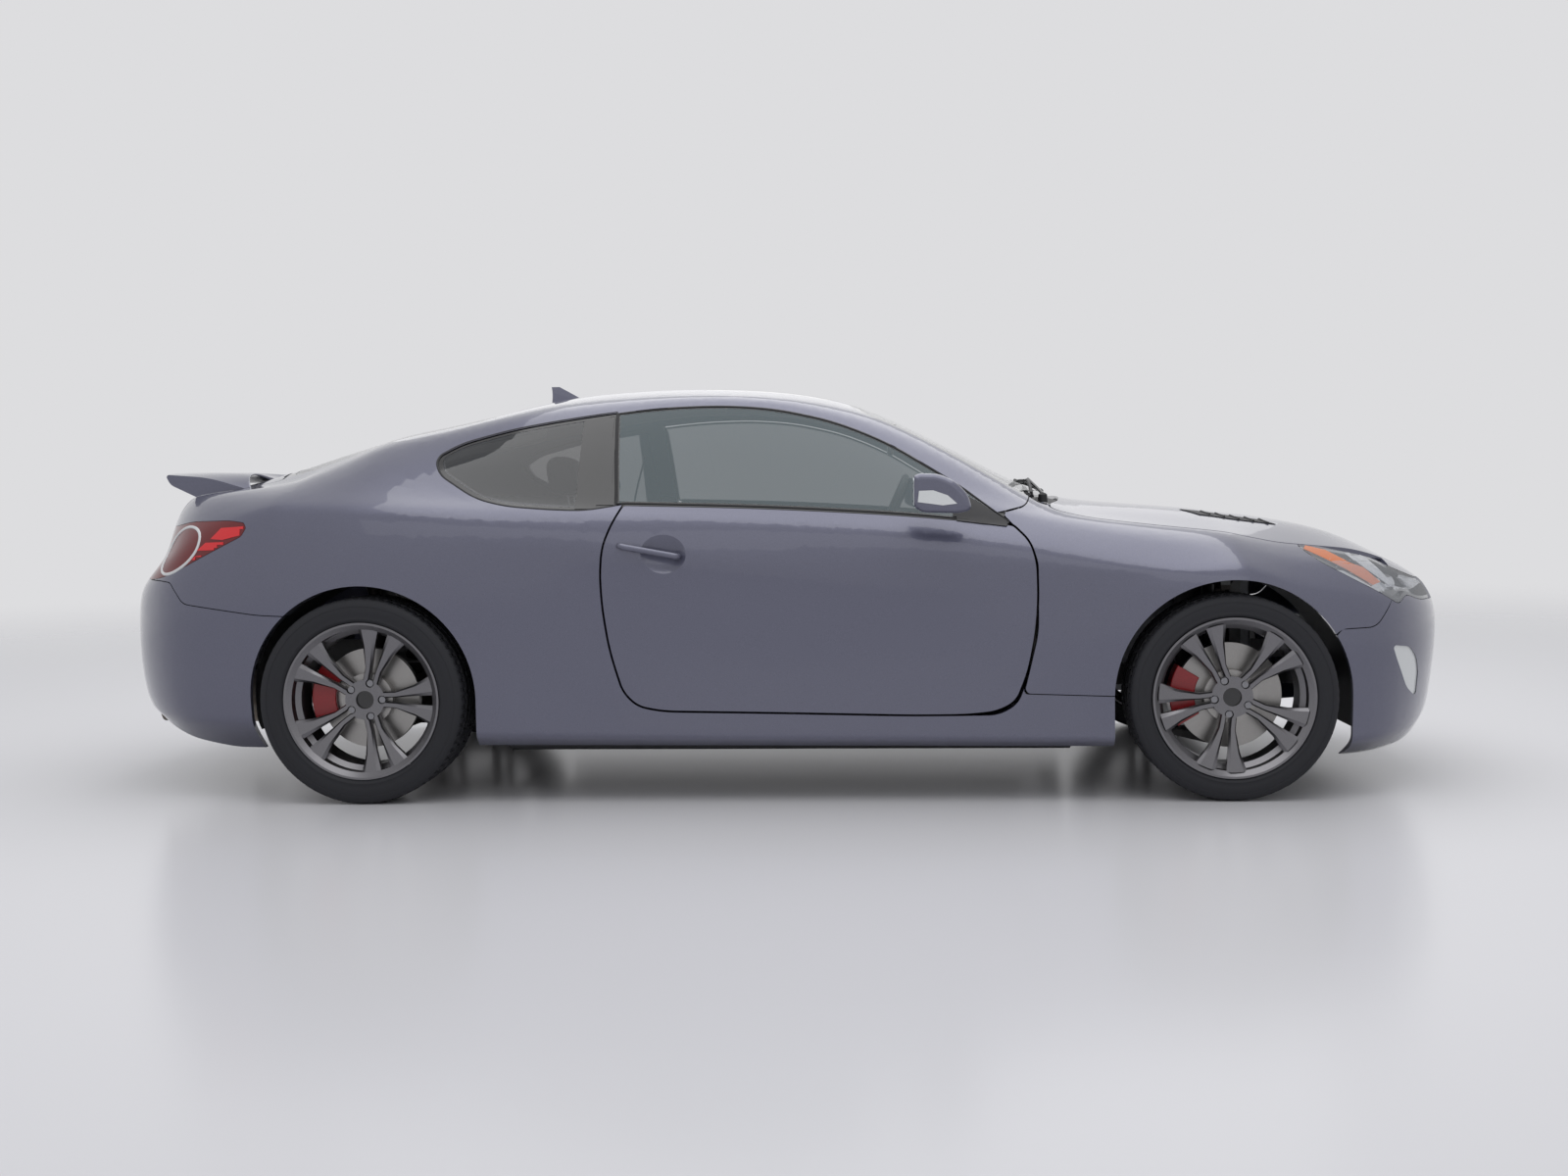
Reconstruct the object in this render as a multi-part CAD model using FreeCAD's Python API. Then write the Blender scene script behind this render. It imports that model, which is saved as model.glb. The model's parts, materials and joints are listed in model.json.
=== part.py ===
"""Two-door coupe, built as an assembly of separate panels, glass, lamps, seats, running gear and wheels.

The frame has X forward, Y to the car's left and Z up, in millimetres. The origin is on the ground,
below the middle of the car's overall length and width. Most shapes are made for the right side and
mirrored to the left.
"""
import FreeCAD, Part
import math
import os

Vec = FreeCAD.Vector

# Driving dimensions of the whole car
FRONT_OVERHANG = 830.0
WHEELBASE = 2820.0
REAR_OVERHANG = 980.0
BODY_WIDTH = 1865.0
ROOF_HEIGHT = 1385.0
UNDERSIDE_Z = 110.0
FRONT_TRACK = 1605.0
REAR_TRACK = 1625.0

# Panels and gaps
PANEL_THICKNESS = 22.0
WALL_THICKNESS = 70.0
GLASS_RECESS = 4.0
GLASS_THICKNESS = 5.0
SEAT_GAP = 0.3
RUNNING_GAP = 0.08
SHUT_GAP = 3.0
DOOR_GAP = 7.0
LID_GAP = 6.0
LID_SWING_GAP = 12.0
OVERRUN = 60.0

# Wheels and tyres
FRONT_TYRE_RADIUS = 331.0
FRONT_TYRE_WIDTH = 225.0
REAR_TYRE_RADIUS = 339.0
REAR_TYRE_WIDTH = 245.0
RIM_FLANGE_RADIUS = 258.0
RIM_FLANGE_HEIGHT = 16.0
RIM_WALL = 7.0
FRONT_RIM_WIDTH = 208.0
REAR_RIM_WIDTH = 222.0
ARCH_RADIUS = 378.0

# Steering, doors and lids
KINGPIN_INSET = 60.0
DOOR_HINGE_X = 765.0
DOOR_HINGE_Y = 881.0
DOOR_PIN_RADIUS = 4.0
DOOR_BARREL_RADIUS = 7.0
DOOR_SKIN = 2.0
HINGE_PIN_RADIUS = 6.0
HINGE_BARREL_RADIUS = 10.0
HINGE_HEIGHTS = (420.0, 640.0)
HINGE_BARREL_LENGTH = 50.0

OVERALL_LENGTH = FRONT_OVERHANG + WHEELBASE + REAR_OVERHANG
HALF_WIDTH = BODY_WIDTH / 2
FRONT_AXLE_X = OVERALL_LENGTH / 2 - FRONT_OVERHANG
REAR_AXLE_X = FRONT_AXLE_X - WHEELBASE

# Body surface. A station share is -1 at the tail, 0 at the rear axle, 1 at the front axle and 2 at the nose.
# Each line runs along the car: (station share, share of half width, share of roof height).
SILL_LOWER_SHARES = [(-0.32, 0.925, 0.165), (0.0, 0.950, 0.145), (0.30, 0.952, 0.136),
                     (0.70, 0.952, 0.131),
                     (1.0, 0.950, 0.125), (1.26, 0.940, 0.110)]
SILL_EDGE_SHARES = [(-0.32, 0.955, 0.215), (0.0, 0.975, 0.185), (0.30, 0.972, 0.172), (0.70, 0.972, 0.162),
                    (1.0, 0.972, 0.155), (1.26, 0.960, 0.150)]
ROCKER_SHARES = [(-0.32, 0.975, 0.320), (0.0, 0.992, 0.300), (0.15, 0.980, 0.296), (0.30, 0.968, 0.290),
                 (0.50, 0.962, 0.278), (0.75, 0.964, 0.262), (0.88, 0.972, 0.252), (1.0, 0.985, 0.255),
                 (1.26, 0.970, 0.250)]
DOOR_LOWER_SHARES = [(-0.32, 0.980, 0.440), (0.0, 0.998, 0.410), (0.15, 0.984, 0.400),
                     (0.30, 0.966, 0.395),
                     (0.50, 0.960, 0.385), (0.75, 0.960, 0.375), (0.88, 0.972, 0.375), (1.0, 0.994, 0.380),
                     (1.26, 0.972, 0.365)]
DOOR_MIDDLE_SHARES = [(-0.32, 0.982, 0.530), (0.0, 1.0, 0.510), (0.15, 0.986, 0.495), (0.30, 0.969, 0.480),
                      (0.50, 0.962, 0.455), (0.75, 0.959, 0.430), (0.88, 0.970, 0.430),
                      (1.0, 0.998, 0.465),
                      (1.26, 0.968, 0.425)]
DOOR_UPPER_SHARES = [(-0.32, 0.975, 0.610), (0.0, 0.992, 0.605), (0.15, 0.984, 0.575),
                     (0.30, 0.972, 0.545),
                     (0.50, 0.964, 0.500), (0.75, 0.958, 0.470), (0.88, 0.967, 0.480), (1.0, 0.994, 0.508),
                     (1.26, 0.962, 0.462)]
SHOULDER_SHARES = [(-0.32, 0.958, 0.686), (0.0, 0.972, 0.684), (0.12, 0.972, 0.662), (0.28, 0.974, 0.618),
                   (0.38, 0.970, 0.585), (0.49, 0.966, 0.556), (0.62, 0.960, 0.534), (0.78, 0.957, 0.520),
                   (0.90, 0.963, 0.524), (1.0, 0.982, 0.530), (1.26, 0.954, 0.486)]
BELT_CREASE_SHARES = [(-0.32, 0.925, 0.712), (0.0, 0.932, 0.713), (0.12, 0.928, 0.700),
                      (0.28, 0.936, 0.681),
                      (0.46, 0.942, 0.650), (0.64, 0.945, 0.619), (0.77, 0.947, 0.587),
                      (0.85, 0.948, 0.563),
                      (0.93, 0.954, 0.545), (1.0, 0.966, 0.548), (1.12, 0.958, 0.530),
                      (1.26, 0.938, 0.505)]
BELT_SHARES = [(-0.32, 0.870, 0.733), (0.0, 0.862, 0.745), (0.12, 0.868, 0.728), (0.28, 0.892, 0.708),
               (0.47, 0.895, 0.692), (0.64, 0.893, 0.665), (0.77, 0.886, 0.637), (0.85, 0.884, 0.612),
               (0.93, 0.890, 0.592), (1.0, 0.900, 0.578), (1.26, 0.872, 0.546)]
GLASS_MIDDLE_SHARES = [(-0.32, 0.800, 0.748), (0.0, 0.775, 0.790), (0.12, 0.778, 0.802),
                       (0.28, 0.800, 0.815),
                       (0.47, 0.806, 0.816), (0.56, 0.808, 0.788), (0.64, 0.816, 0.745),
                       (0.72, 0.832, 0.692),
                       (0.77, 0.838, 0.665), (0.85, 0.832, 0.636), (0.93, 0.834, 0.615),
                       (1.0, 0.838, 0.600),
                       (1.26, 0.812, 0.566)]
GLASS_TOP_SHARES = [(-0.32, 0.720, 0.760), (0.0, 0.676, 0.832), (0.12, 0.664, 0.874), (0.20, 0.664, 0.904),
                    (0.28, 0.668, 0.922), (0.35, 0.671, 0.935), (0.42, 0.674, 0.940), (0.48, 0.678, 0.930),
                    (0.54, 0.688, 0.902), (0.62, 0.716, 0.834), (0.70, 0.756, 0.738), (0.77, 0.786, 0.682),
                    (0.85, 0.772, 0.652), (0.93, 0.768, 0.632), (1.0, 0.766, 0.616), (1.26, 0.742, 0.584)]
RAIL_SHARES = [(-0.32, 0.620, 0.770), (0.0, 0.582, 0.858), (0.12, 0.574, 0.908), (0.20, 0.578, 0.940),
               (0.28, 0.584, 0.956), (0.35, 0.588, 0.964), (0.42, 0.590, 0.963), (0.50, 0.594, 0.950),
               (0.57, 0.604, 0.918), (0.62, 0.618, 0.882), (0.70, 0.652, 0.796), (0.77, 0.684, 0.714),
               (0.82, 0.680, 0.674), (0.87, 0.664, 0.656), (0.93, 0.652, 0.644), (1.0, 0.644, 0.630),
               (1.26, 0.622, 0.602)]
CROWN_SHARES = [(-0.32, 0.0, 0.831), (-0.19, 0.0, 0.860), (0.0, 0.0, 0.896), (0.12, 0.0, 0.944),
                (0.17, 0.0, 0.967), (0.225, 0.0, 0.986), (0.30, 0.0, 0.998), (0.37, 0.0, 1.0),
                (0.45, 0.0, 0.994), (0.52, 0.0, 0.977), (0.575, 0.0, 0.949), (0.62, 0.0, 0.911),
                (0.70, 0.0, 0.829), (0.78, 0.0, 0.745), (0.82, 0.0, 0.711), (0.87, 0.0, 0.694),
                (0.93, 0.0, 0.684), (1.0, 0.0, 0.671), (1.26, 0.0, 0.650)]
BODY_LINES = [SILL_LOWER_SHARES, SILL_EDGE_SHARES, ROCKER_SHARES, DOOR_LOWER_SHARES, DOOR_MIDDLE_SHARES,
              DOOR_UPPER_SHARES, SHOULDER_SHARES, BELT_CREASE_SHARES, BELT_SHARES, GLASS_MIDDLE_SHARES,
              GLASS_TOP_SHARES, RAIL_SHARES]
# Where each line of BODY_LINES, and then the crown, crosses the car's middle:
# (share of overhang, share of height)
NOSE_SHARES = [(0.915, 0.140), (0.955, 0.172), (0.975, 0.235), (0.992, 0.300), (0.999, 0.352),
               (1.0, 0.392),
               (0.994, 0.420), (0.984, 0.442), (0.972, 0.460), (0.960, 0.472), (0.949, 0.480),
               (0.939, 0.486),
               (0.930, 0.491)]
TAIL_SHARES = [(0.905, 0.172), (0.955, 0.192), (0.985, 0.245), (1.0, 0.330), (0.998, 0.425),
               (0.980, 0.492),
               (0.905, 0.540), (0.875, 0.600), (0.850, 0.680), (0.822, 0.722), (0.806, 0.730),
               (0.792, 0.733),
               (0.780, 0.734)]
MIDDLE_STATION_SHARES = [-0.32, -0.24, -0.12, 0.0, 0.06, 0.12, 0.17, 0.225, 0.28, 0.35, 0.42, 0.49, 0.55,
                         0.60,
                         0.65, 0.70, 0.74, 0.78, 0.82, 0.86, 0.90, 0.95, 1.0, 1.08, 1.17, 1.26]
END_ANGLES_DEG = [18.0, 33.0, 46.0, 57.0, 66.0, 74.0, 80.0, 84.5]
NOSE_FULLNESS = 2.25
TAIL_FULLNESS = 2.5
HOOD_DROP_POWER = 1.75
DECK_DROP_POWER = 0.85
LOWER_DROP_POWER = 1.1
UPPER_LINES = 4
CROWN_LINES = 3
CROWN_POWER = 2.1
UNDERSIDE_TUCK_SHARE = 0.80

# Rounding of outline corners, as shares of their shorter side
CORNER_SHARE = 0.4
TIGHT_CORNER_SHARE = 0.3
SMALL_CORNER_SHARE = 0.2
HOOD_CORNER_SHARE = 0.35
SHARP_CORNER_SHARE = 0.01

# Small overlaps and tolerances
OVERLAP = 1.0
TINY = 0.000001

# Doors, their handles and hinges
HANDLE_RADIUS_SHARE = 0.55
HANDLE_BEND_SHARE = 0.45
LEAF_OVERLAP = 5.0
LEAF_HALF = 4.0
DOOR_FRONT_POINT = 6

# Bumpers, grille and lamps
FOG_LAMP_INNER_SHARE = 0.62
GRILLE_REACH = 400.0
GRILLE_RIM_BARS = 2.5
GRILLE_INSET_SHARE = 0.3
DIFFUSER_REACH = 500.0
HOUSING_FRONT_SHARE = 0.6
HOUSING_BACK_SHARE = 1.4
EYE_SHARE = 0.8
EYE_SHIFT_SHARE = 0.5
LAMP_BODY_SHARE = 0.7

# Roof, hood and glass
ROOF_LOW_SHARE = 0.7
GLASS_LOW_SHARE = 0.6
TOP_SEARCH_SHARE = 0.45
LEDGE_SHARE = 1.4
ROOF_FRAME_INNER_SHARE = 0.40
ROOF_FRAME_END_SHARE = 1.5
ROOF_FRAME_DEPTH_SHARE = 1.8

# Wheels, brakes and hubs
RIM_BEVEL_WALLS = 1.6
RIM_STEP_WALLS = 7
RIM_WELL_WALLS = 9
DISC_HAT_WALL = 6.0
DISC_FACE_THICKNESS = 8.0
HUB_SHAFT_INNER_Y = 45.0
FRONT_CALIPER_DEG = 180.0
REAR_CALIPER_DEG = 172.0

# Seats, instrument panel and steering wheel
SEAT_FILLET_SHARE = 0.6
HEADREST_FILLET_SHARE = 0.5
REAR_BASE_FILLET_SHARE = 0.5
REAR_BACK_FILLET_SHARE = 0.4
HEADREST_POST_SHARE = 0.214
HEADREST_POST_RADIUS = 7.0
HEADREST_POST_REACH = 40.0
HEADREST_POST_Y = 60.0
COLUMN_REACH = 400.0
WHEEL_HUB_RADIUS = 62.0
WHEEL_HUB_DEPTH = 34.0
WHEEL_HUB_LOW = 44.0
SPOKE_HALF = 16.0
SPOKE_LOW = 26.0
SPOKE_HIGH = 8.0
SPOKE_TRIM_LENGTH = 60.0
SPOKE_TRIM_LOW = 40.0
LOWER_SPOKE_HALF = 13.0
COLUMN_DROP = 30.0

# Floor, rails, beams and hinge stands
STRUCTURE_REAR_SHARE = -0.86
RADIATOR_SHARE = 1.74
CABIN_REAR_SHARE = 0.16
TRUNK_FLOOR_SHARE = 0.52
FIREWALL_TOP_SHARE = 0.60
BULKHEAD_SHARE = 0.80
TAIL_WALL_SHARE = 0.60
TIP_ROOM_SHARE = 1.5
TAIL_WALL_TOP_SHARE = 0.52
SLAM_PANEL_SHARE = 0.46
FRONT_BEAM_WIDTH_SHARE = 0.72
REAR_BEAM_WIDTH_SHARE = 0.68
FENDER_RAIL_END_SHARE = 1.28
FENDER_RAIL_OUT_SHARE = 0.86
FENDER_RAIL_IN_SHARE = 0.74
SHELF_REAR_SHARE = -0.33
SHELF_FRONT_SHARE = 0.02
CROSSBAR_REAR_SHARE = -0.62
CROSSBAR_FRONT_SHARE = -0.58
CROSSBAR_SHEETS = 3
LID_ARM_BEND_SHARE = 0.35
HINGE_ROOT_Y = 740.0
HOOD_STAND_SHARE = 0.56
HOOD_STAND_DROP = 50.0
HINGE_SLOT_SHARE = 3
LID_STAND_LENGTH = 30.0

# Wheel liners, mirrors, spoiler and roof fin
LINER_FRONT_SHARE = 1.7
LINER_FRONT_INNER_SHARE = 0.55
LINER_REAR_SHARES = (-0.6, 0.2)
LINER_REAR_INNER_SHARE = 0.57
SILL_END_WALLS = 1.5
SILL_END_SHARE = 0.25
MIRROR_FOOT_SHARES = (0.716, 0.642)
MIRROR_FOOT_BACK = 62.0
MIRROR_FOOT_FRONT = 22.0
MIRROR_FOOT_OVERLAP = 20.0
MIRROR_FOOT_INNER_SHARE = 0.84
MIRROR_FOOT_DROP = 12.0
MIRROR_FOOT_RISE = 34.0
MIRROR_GLASS_SHARES = (0.62, 0.6405)
WING_CROWN_SHARE = 0.2
WING_EDGE_SHARE = 0.4
WING_BELLY_SHARE = 0.8
WING_NOSE_SHARE = 0.1
FIN_SHIFT_SHARE = 0.2
FIN_SECTIONS_SHARES = ((-0.5, -0.28, 1.0, 1.0), (0.25, -0.22, 0.50, 0.5), (1.0, -0.24, -0.04, 0.12))
FIN_FRONT_SHARE = 0.3

# Engine, suspension, driveshaft, exhaust and radiator
ENGINE_GAP_SHEETS = 4
ENGINE_FRONT_SHARE = 1.22
ENGINE_ROOM = 20.0
LOWER_ARM_SPAN = 160.0
UPPER_ARM_SPAN = 90.0
UPPER_ARM_SHARE = 0.75
TOWER_SPAN = 110.0
CROSSMEMBER_SPAN = 60.0
SPRING_SEAT_Z = 420.0
UPRIGHT_SPAN = 30.0
UPRIGHT_DROP = 140.0
UPRIGHT_RISE = 120.0
REAR_ARM_Y = 350.0
REAR_ARM_BACK = 120.0
REAR_ARM_FRONT = 60.0
REAR_ARM_END = 25.0
REAR_ARM_LAP = 10.0
REAR_LINK_BACK = 20.0
REAR_LINK_END = 15.0
SUBFRAME_BACK = 140.0
SUBFRAME_FRONT = 120.0
SUBFRAME_OUT_Y = 380.0
SUBFRAME_IN_Y = 330.0
SUBFRAME_DROP = 145.0
SUBFRAME_BAR_SHARE = 0.8
SUBFRAME_BAR_LOW = 100.0
SUBFRAME_BAR_HIGH = 20.0
REAR_DAMPER_BACK = 60.0
REAR_DAMPER_DROP = 130.0
REAR_SPRING_DROP = 60.0
REAR_SPRING_RISE = 200.0
DIFF_NOSE_SHARE = 0.5
REAR_AXLE_REACH = 900.0
GEARBOX_DROP = 20.0
GEARBOX_HALF_WIDTH = 85.0
GEARBOX_LOW_Z = 172.0
GEARBOX_TOP_GAP = 10.0
MUFFLER_HALF_WIDTH = 400.0
MUFFLER_LOW_Z = 205.0
MUFFLER_TOP_GAP = 12.0
MUFFLER_EDGE = 40.0
PIPE_START = 80.0
PIPE_BEND_FRONT = 330.0
PIPE_BEND_MIDDLE = 200.0
PIPE_BEND_REAR = 100.0
PIPE_REAR_Y = 180.0
PIPE_RISE = 15.0
PIPE_END_LAP = 20.0
PIPE_END_Z = 250.0
TAILPIPE_LAP = 100.0
TAILPIPE_Y = 300.0
TAILPIPE_END = 60.0
TIP_LAP = 20.0
TIP_WALL = 4.0
TIP_BORE = 90.0
RADIATOR_DEPTH = 60.0
RADIATOR_HALF_WIDTH = 340.0
RADIATOR_LOW_Z = 215.0
RADIATOR_TOP_SHARE = 0.31

# Side outlines: (station share, height share)
DOOR_SHARES = [(0.306, 0.700), (0.470, 0.689), (0.633, 0.668), (0.755, 0.642), (0.773, 0.605),
               (0.780, 0.555),
               (0.781, 0.470), (0.778, 0.394), (0.770, 0.304), (0.757, 0.230), (0.735, 0.205),
               (0.640, 0.203),
               (0.504, 0.210), (0.352, 0.216), (0.322, 0.228), (0.305, 0.262), (0.290, 0.360),
               (0.2825, 0.464),
               (0.281, 0.540), (0.284, 0.601), (0.293, 0.650)]
DOOR_CORNERS_SHARE = [0.10, 0.45, 0.45, 0.15] + [0.45] * 18
# The door's own lower front corner, cut back so that it clears the sill as it swings
DOOR_TOE_START = 8
DOOR_TOE_POINTS = 3
DOOR_TOE_SHARES = [(0.7693, 0.304), (0.7553, 0.2338), (0.7330, 0.2112), (0.7000, 0.2040)]
WINDOW_SHARES = [(0.757, 0.641), (0.696, 0.738), (0.658, 0.786), (0.619, 0.835), (0.581, 0.871),
                 (0.542, 0.900),
                 (0.480, 0.929), (0.418, 0.939), (0.3475, 0.936), (0.2805, 0.922), (0.212, 0.9025),
                 (0.159, 0.884), (0.102, 0.853), (0.073, 0.818), (0.083, 0.776), (0.131, 0.717),
                 (0.170, 0.698),
                 (0.224, 0.689), (0.263, 0.686), (0.306, 0.700), (0.470, 0.689), (0.633, 0.668)]
WINDOW_CORNERS_SHARE = [0.08] + [0.45] * 18 + [0.1] + [0.45] * 2
PILLAR_LINE_SHARES = [(0.290, 0.95), (0.3005, 0.66)]
FENDER_SHARES = [(0.755, 0.642), (0.773, 0.605), (0.781, 0.555), (0.781, 0.394), (0.770, 0.300),
                 (0.764, 0.252),
                 (0.870, 0.245), (1.30, 0.245), (1.386, 0.395), (1.551, 0.398), (1.62, 0.452),
                 (1.75, 0.60),
                 (1.75, 1.02), (0.78, 1.02), (0.79, 0.74), (0.772, 0.684), (0.7425, 0.670)]
FENDER_CUT_SHARES = FENDER_SHARES[:9] + [(1.62, 0.452), (1.5, 0.6)]
SIDE_SHARES = [(0.764, 0.252), (0.870, 0.245), (1.0, 0.245), (1.0, 0.07), (-0.20, 0.07), (-0.20, 0.4455),
               (-0.348, 0.450), (-0.621, 0.4765), (-0.6776, 0.527), (-0.72, 0.530), (-1.3, 0.538),
               (-1.3, 1.1), (0.77, 1.1),
               (0.79, 0.74), (0.772, 0.686), (0.741, 0.672), (0.70, 0.66), (0.70, 0.4), (0.768, 0.305)]
SILL_BOTTOM_SHARES = [(-0.5, 0.0), (1.2, 0.0), (1.2, 0.124), (0.90, 0.126), (0.50, 0.132), (0.0, 0.136),
                      (-0.5, 0.14)]
HEADLAMP_SHARES = [(1.293, 0.584), (1.345, 0.589), (1.416, 0.576), (1.592, 0.553), (1.682, 0.525),
                   (1.80, 0.500),
                   (1.93, 0.490), (1.93, 0.447), (1.78, 0.452), (1.700, 0.468), (1.657, 0.447),
                   (1.572, 0.477),
                   (1.469, 0.509), (1.351, 0.549)]
HEADLAMP_INNER_SHARE = 0.50
FRONT_BUMPER_SHARES = [(1.25, 0.395), (1.386, 0.395), (1.551, 0.398), (1.62, 0.452), (1.70, 0.60),
                       (2.2, 0.60),
                       (2.2, 0.160), (1.90, 0.148), (1.80, 0.128), (1.73, 0.108), (1.54, 0.088),
                       (1.25, 0.088)]
FOG_LAMP_SHARES = [(1.623, 0.354), (1.711, 0.346), (1.749, 0.321), (1.766, 0.285), (1.758, 0.222),
                   (1.699, 0.250),
                   (1.646, 0.318)]
TAIL_LAMP_SHARES = [(-0.385, 0.657), (-0.395, 0.669), (-0.453, 0.674), (-0.613, 0.6715), (-0.72, 0.660),
                    (-1.2, 0.640), (-1.2, 0.538), (-0.72, 0.530), (-0.402, 0.637)]
TAIL_LAMP_INNER_SHARE = 0.64
REAR_BUMPER_SHARES = [(-0.20, 0.4455), (-0.348, 0.450), (-0.621, 0.4765), (-0.6776, 0.527), (-0.72, 0.530),
                      (-1.3, 0.538), (-1.3, 0.200), (-0.833, 0.186), (-0.657, 0.1415), (-0.49, 0.119),
                      (-0.20, 0.119)]
# Plan outlines: (station share, share of half width)
WINDSHIELD_SHARES = [(0.562, -0.2), (0.562, 0.20), (0.569, 0.45), (0.580, 0.575), (0.64, 0.602),
                     (0.70, 0.630),
                     (0.757, 0.662), (0.778, 0.668), (0.800, 0.45), (0.812, 0.20), (0.812, -0.2)]
ROOF_SHARES = [(0.562, -0.2), (0.562, 0.20), (0.569, 0.45), (0.578, 0.563), (0.45, 0.556), (0.30, 0.550),
               (0.16, 0.540), (0.122, 0.53), (0.143, 0.40), (0.158, 0.20), (0.160, -0.2)]
REAR_GLASS_SHARES = [(0.160, -0.2), (0.158, 0.20), (0.143, 0.40), (0.122, 0.53), (0.0, 0.525),
                     (-0.20, 0.512),
                     (-0.385, 0.495), (-0.41, 0.46), (-0.455, 0.20), (-0.465, -0.2)]
TRUNK_LID_SHARES = [(-0.465, -0.2), (-0.455, 0.20), (-0.41, 0.46), (-0.395, 0.560), (-0.60, 0.605),
                    (-0.80, 0.625),
                    (-1.3, 0.625), (-1.3, -0.2)]
LID_BOTTOM_SHARE = 0.542
HOOD_SHARES = [(0.829, -0.2), (0.829, 0.20), (0.820, 0.45), (0.804, 0.64), (0.802, 0.725), (0.85, 0.742),
               (1.0, 0.745), (1.25, 0.722), (1.416, 0.690), (1.60, 0.615), (1.70, 0.555), (1.80, 0.475),
               (1.862, 0.36), (1.895, 0.20), (1.903, -0.2)]
COWL_SHARES = [(0.812, -0.2), (0.812, 0.20), (0.800, 0.45), (0.778, 0.668), (0.790, 0.705), (0.801, 0.69),
               (0.804, 0.64), (0.820, 0.45), (0.829, 0.20), (0.829, -0.2)]
SUNROOF_SHARES = [(0.545, -0.2), (0.545, 0.36), (0.525, 0.40), (0.40, 0.40), (0.385, 0.38), (0.385, -0.2)]
# Front-view outlines: (share of half width, height share)
GRILLE_SHARES = [(-0.2, 0.425), (0.36, 0.425), (0.455, 0.355), (0.39, 0.215), (-0.2, 0.215)]
DIFFUSER_SHARES = [(-0.2, 0.285), (0.44, 0.285), (0.55, 0.235), (0.52, 0.10), (-0.2, 0.10)]
# Sizes of the pieces inside and below the body

# Floor, firewall, shelf and rails
FLOOR_Z = 150.0
SHEET = 22.0
TUNNEL_HALF_WIDTH = 130.0
TUNNEL_TOP_Z = 330.0
FIREWALL_X = 960.0
SHELF_Z = 880.0
TRUNK_FLOOR_Z = 400.0
RAIL_Y = 430.0
RAIL_SIZE = 70.0
LAMP_DEPTH = 60.0

# Wheel openings, door handle and pillar
ARCH_INNER_SHARE = 0.52
HANDLE_SHARES = (0.3376, 0.592)
HANDLE_BOWL_SHIFT = 50.0
HANDLE_LENGTH = 190.0
HANDLE_THICKNESS = 18.0
HANDLE_BOWL_RADIUS = 75.0
HANDLE_BOWL_DEPTH = 22.0
HINGE_POCKET = 36.0
PILLAR_WIDTH = 70.0
FLANGE_WIDTH = 18.0
PILLAR_DEPTH_SHARE = 0.4

# Grille and diffuser
GRILLE_SLATS = 6
GRILLE_BAR = 9.0
GRILLE_DEPTH = 26.0
GRILLE_POSTS_SHARES = (0.0, 0.09, 0.18, 0.27, 0.36)
DIFFUSER_FINS = (0.12, 0.26)
TIP_Y = 430.0
TIP_Z = 262.0
TIP_RADIUS = 48.0
TIP_END_SHARE = -0.885
BOWL_SHARES = [(1.50, 0.530), (1.66, 0.490)]
BOWL_RADIUS = 42.0
HOOD_LOW = ROOF_HEIGHT * 0.43
COWL_RECESS = 14.0
# Wheel, brake and hub sizes, measured from the wheel's middle with the outer face at negative Y
SPOKE_PAIRS = 5
SPOKE_RADII = (56.0, 104.0, 172.0, 246.0)
SPOKE_OFFSETS = (16.0, 18.0, 33.0, 56.0)
SPOKE_WIDTHS = (20.0, 20.0, 38.0, 76.0)
SPOKE_FACES = (66.0, 74.0, 88.0, 100.0)
SPOKE_DEPTHS = (27.0, 28.0, 24.0, 26.0)
SPOKE_TOP_SHARE = 0.62
SPOKE_BEVEL = 7.0
HUB_PAD_RADIUS = 66.0
HUB_FACE = 66.0
HUB_BACK = 38.0
HUB_CAP_RADIUS = 30.0
HUB_CAP_DEPTH = 10.0
LUG_CIRCLE_RADIUS = 57.15
LUG_POCKET_RADIUS = 14.0
LUG_NUT_RADIUS = 10.5
LUG_NUT_LENGTH = 18.0
FRONT_WHEEL_TURN_DEG = 44.0
REAR_WHEEL_TURN_DEG = 0.0
FRONT_DISC_RADIUS = 170.0
REAR_DISC_RADIUS = 165.0
DISC_THICKNESS = 26.0
DISC_HAT_RADIUS = 85.0
DISC_PLANE = 12.0
CALIPER_OUTER_RADIUS = 192.0
CALIPER_INNER_RADIUS = 112.0
CALIPER_SPAN_DEG = 62.0
CALIPER_HALF_DEPTH = 34.0
PAD_CLEARANCE = 1.0
HUB_SHAFT_RADIUS = 30.0
TYRE_SHOULDER_WIDTH = 22.0
TYRE_SHOULDER_DROP = 12.0
BEARING_LENGTH = 70.0
BEARING_RADIUS = 48.0
KNUCKLE_HEIGHT = 150.0
KNUCKLE_ARM = 30.0
KNUCKLE_TOP = 353.0

# Seats, instrument panel and steering wheel
SEAT_BASE_SHARES = [(0.300, 0.215), (0.300, 0.300), (0.345, 0.325), (0.445, 0.335), (0.490, 0.350),
                    (0.503, 0.315),
                    (0.495, 0.215)]
SEAT_BACK_SHARES = [(0.285, 0.325), (0.210, 0.600), (0.200, 0.705), (0.225, 0.715), (0.262, 0.700),
                    (0.300, 0.560),
                    (0.352, 0.335), (0.330, 0.305)]
HEADREST_SHARES = [(0.192, 0.725), (0.186, 0.815), (0.205, 0.832), (0.226, 0.815), (0.236, 0.730),
                   (0.215, 0.718)]
SEAT_Y = 386.0
SEAT_WIDTH = 500.0
BACK_WIDTH = 500.0
HEADREST_WIDTH = 250.0
SEAT_EDGE = 38.0
REAR_BASE_SHARES = [(-0.02, 0.3056), (0.0, 0.350), (0.120, 0.360), (0.158, 0.350), (0.160, 0.3056)]
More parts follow.
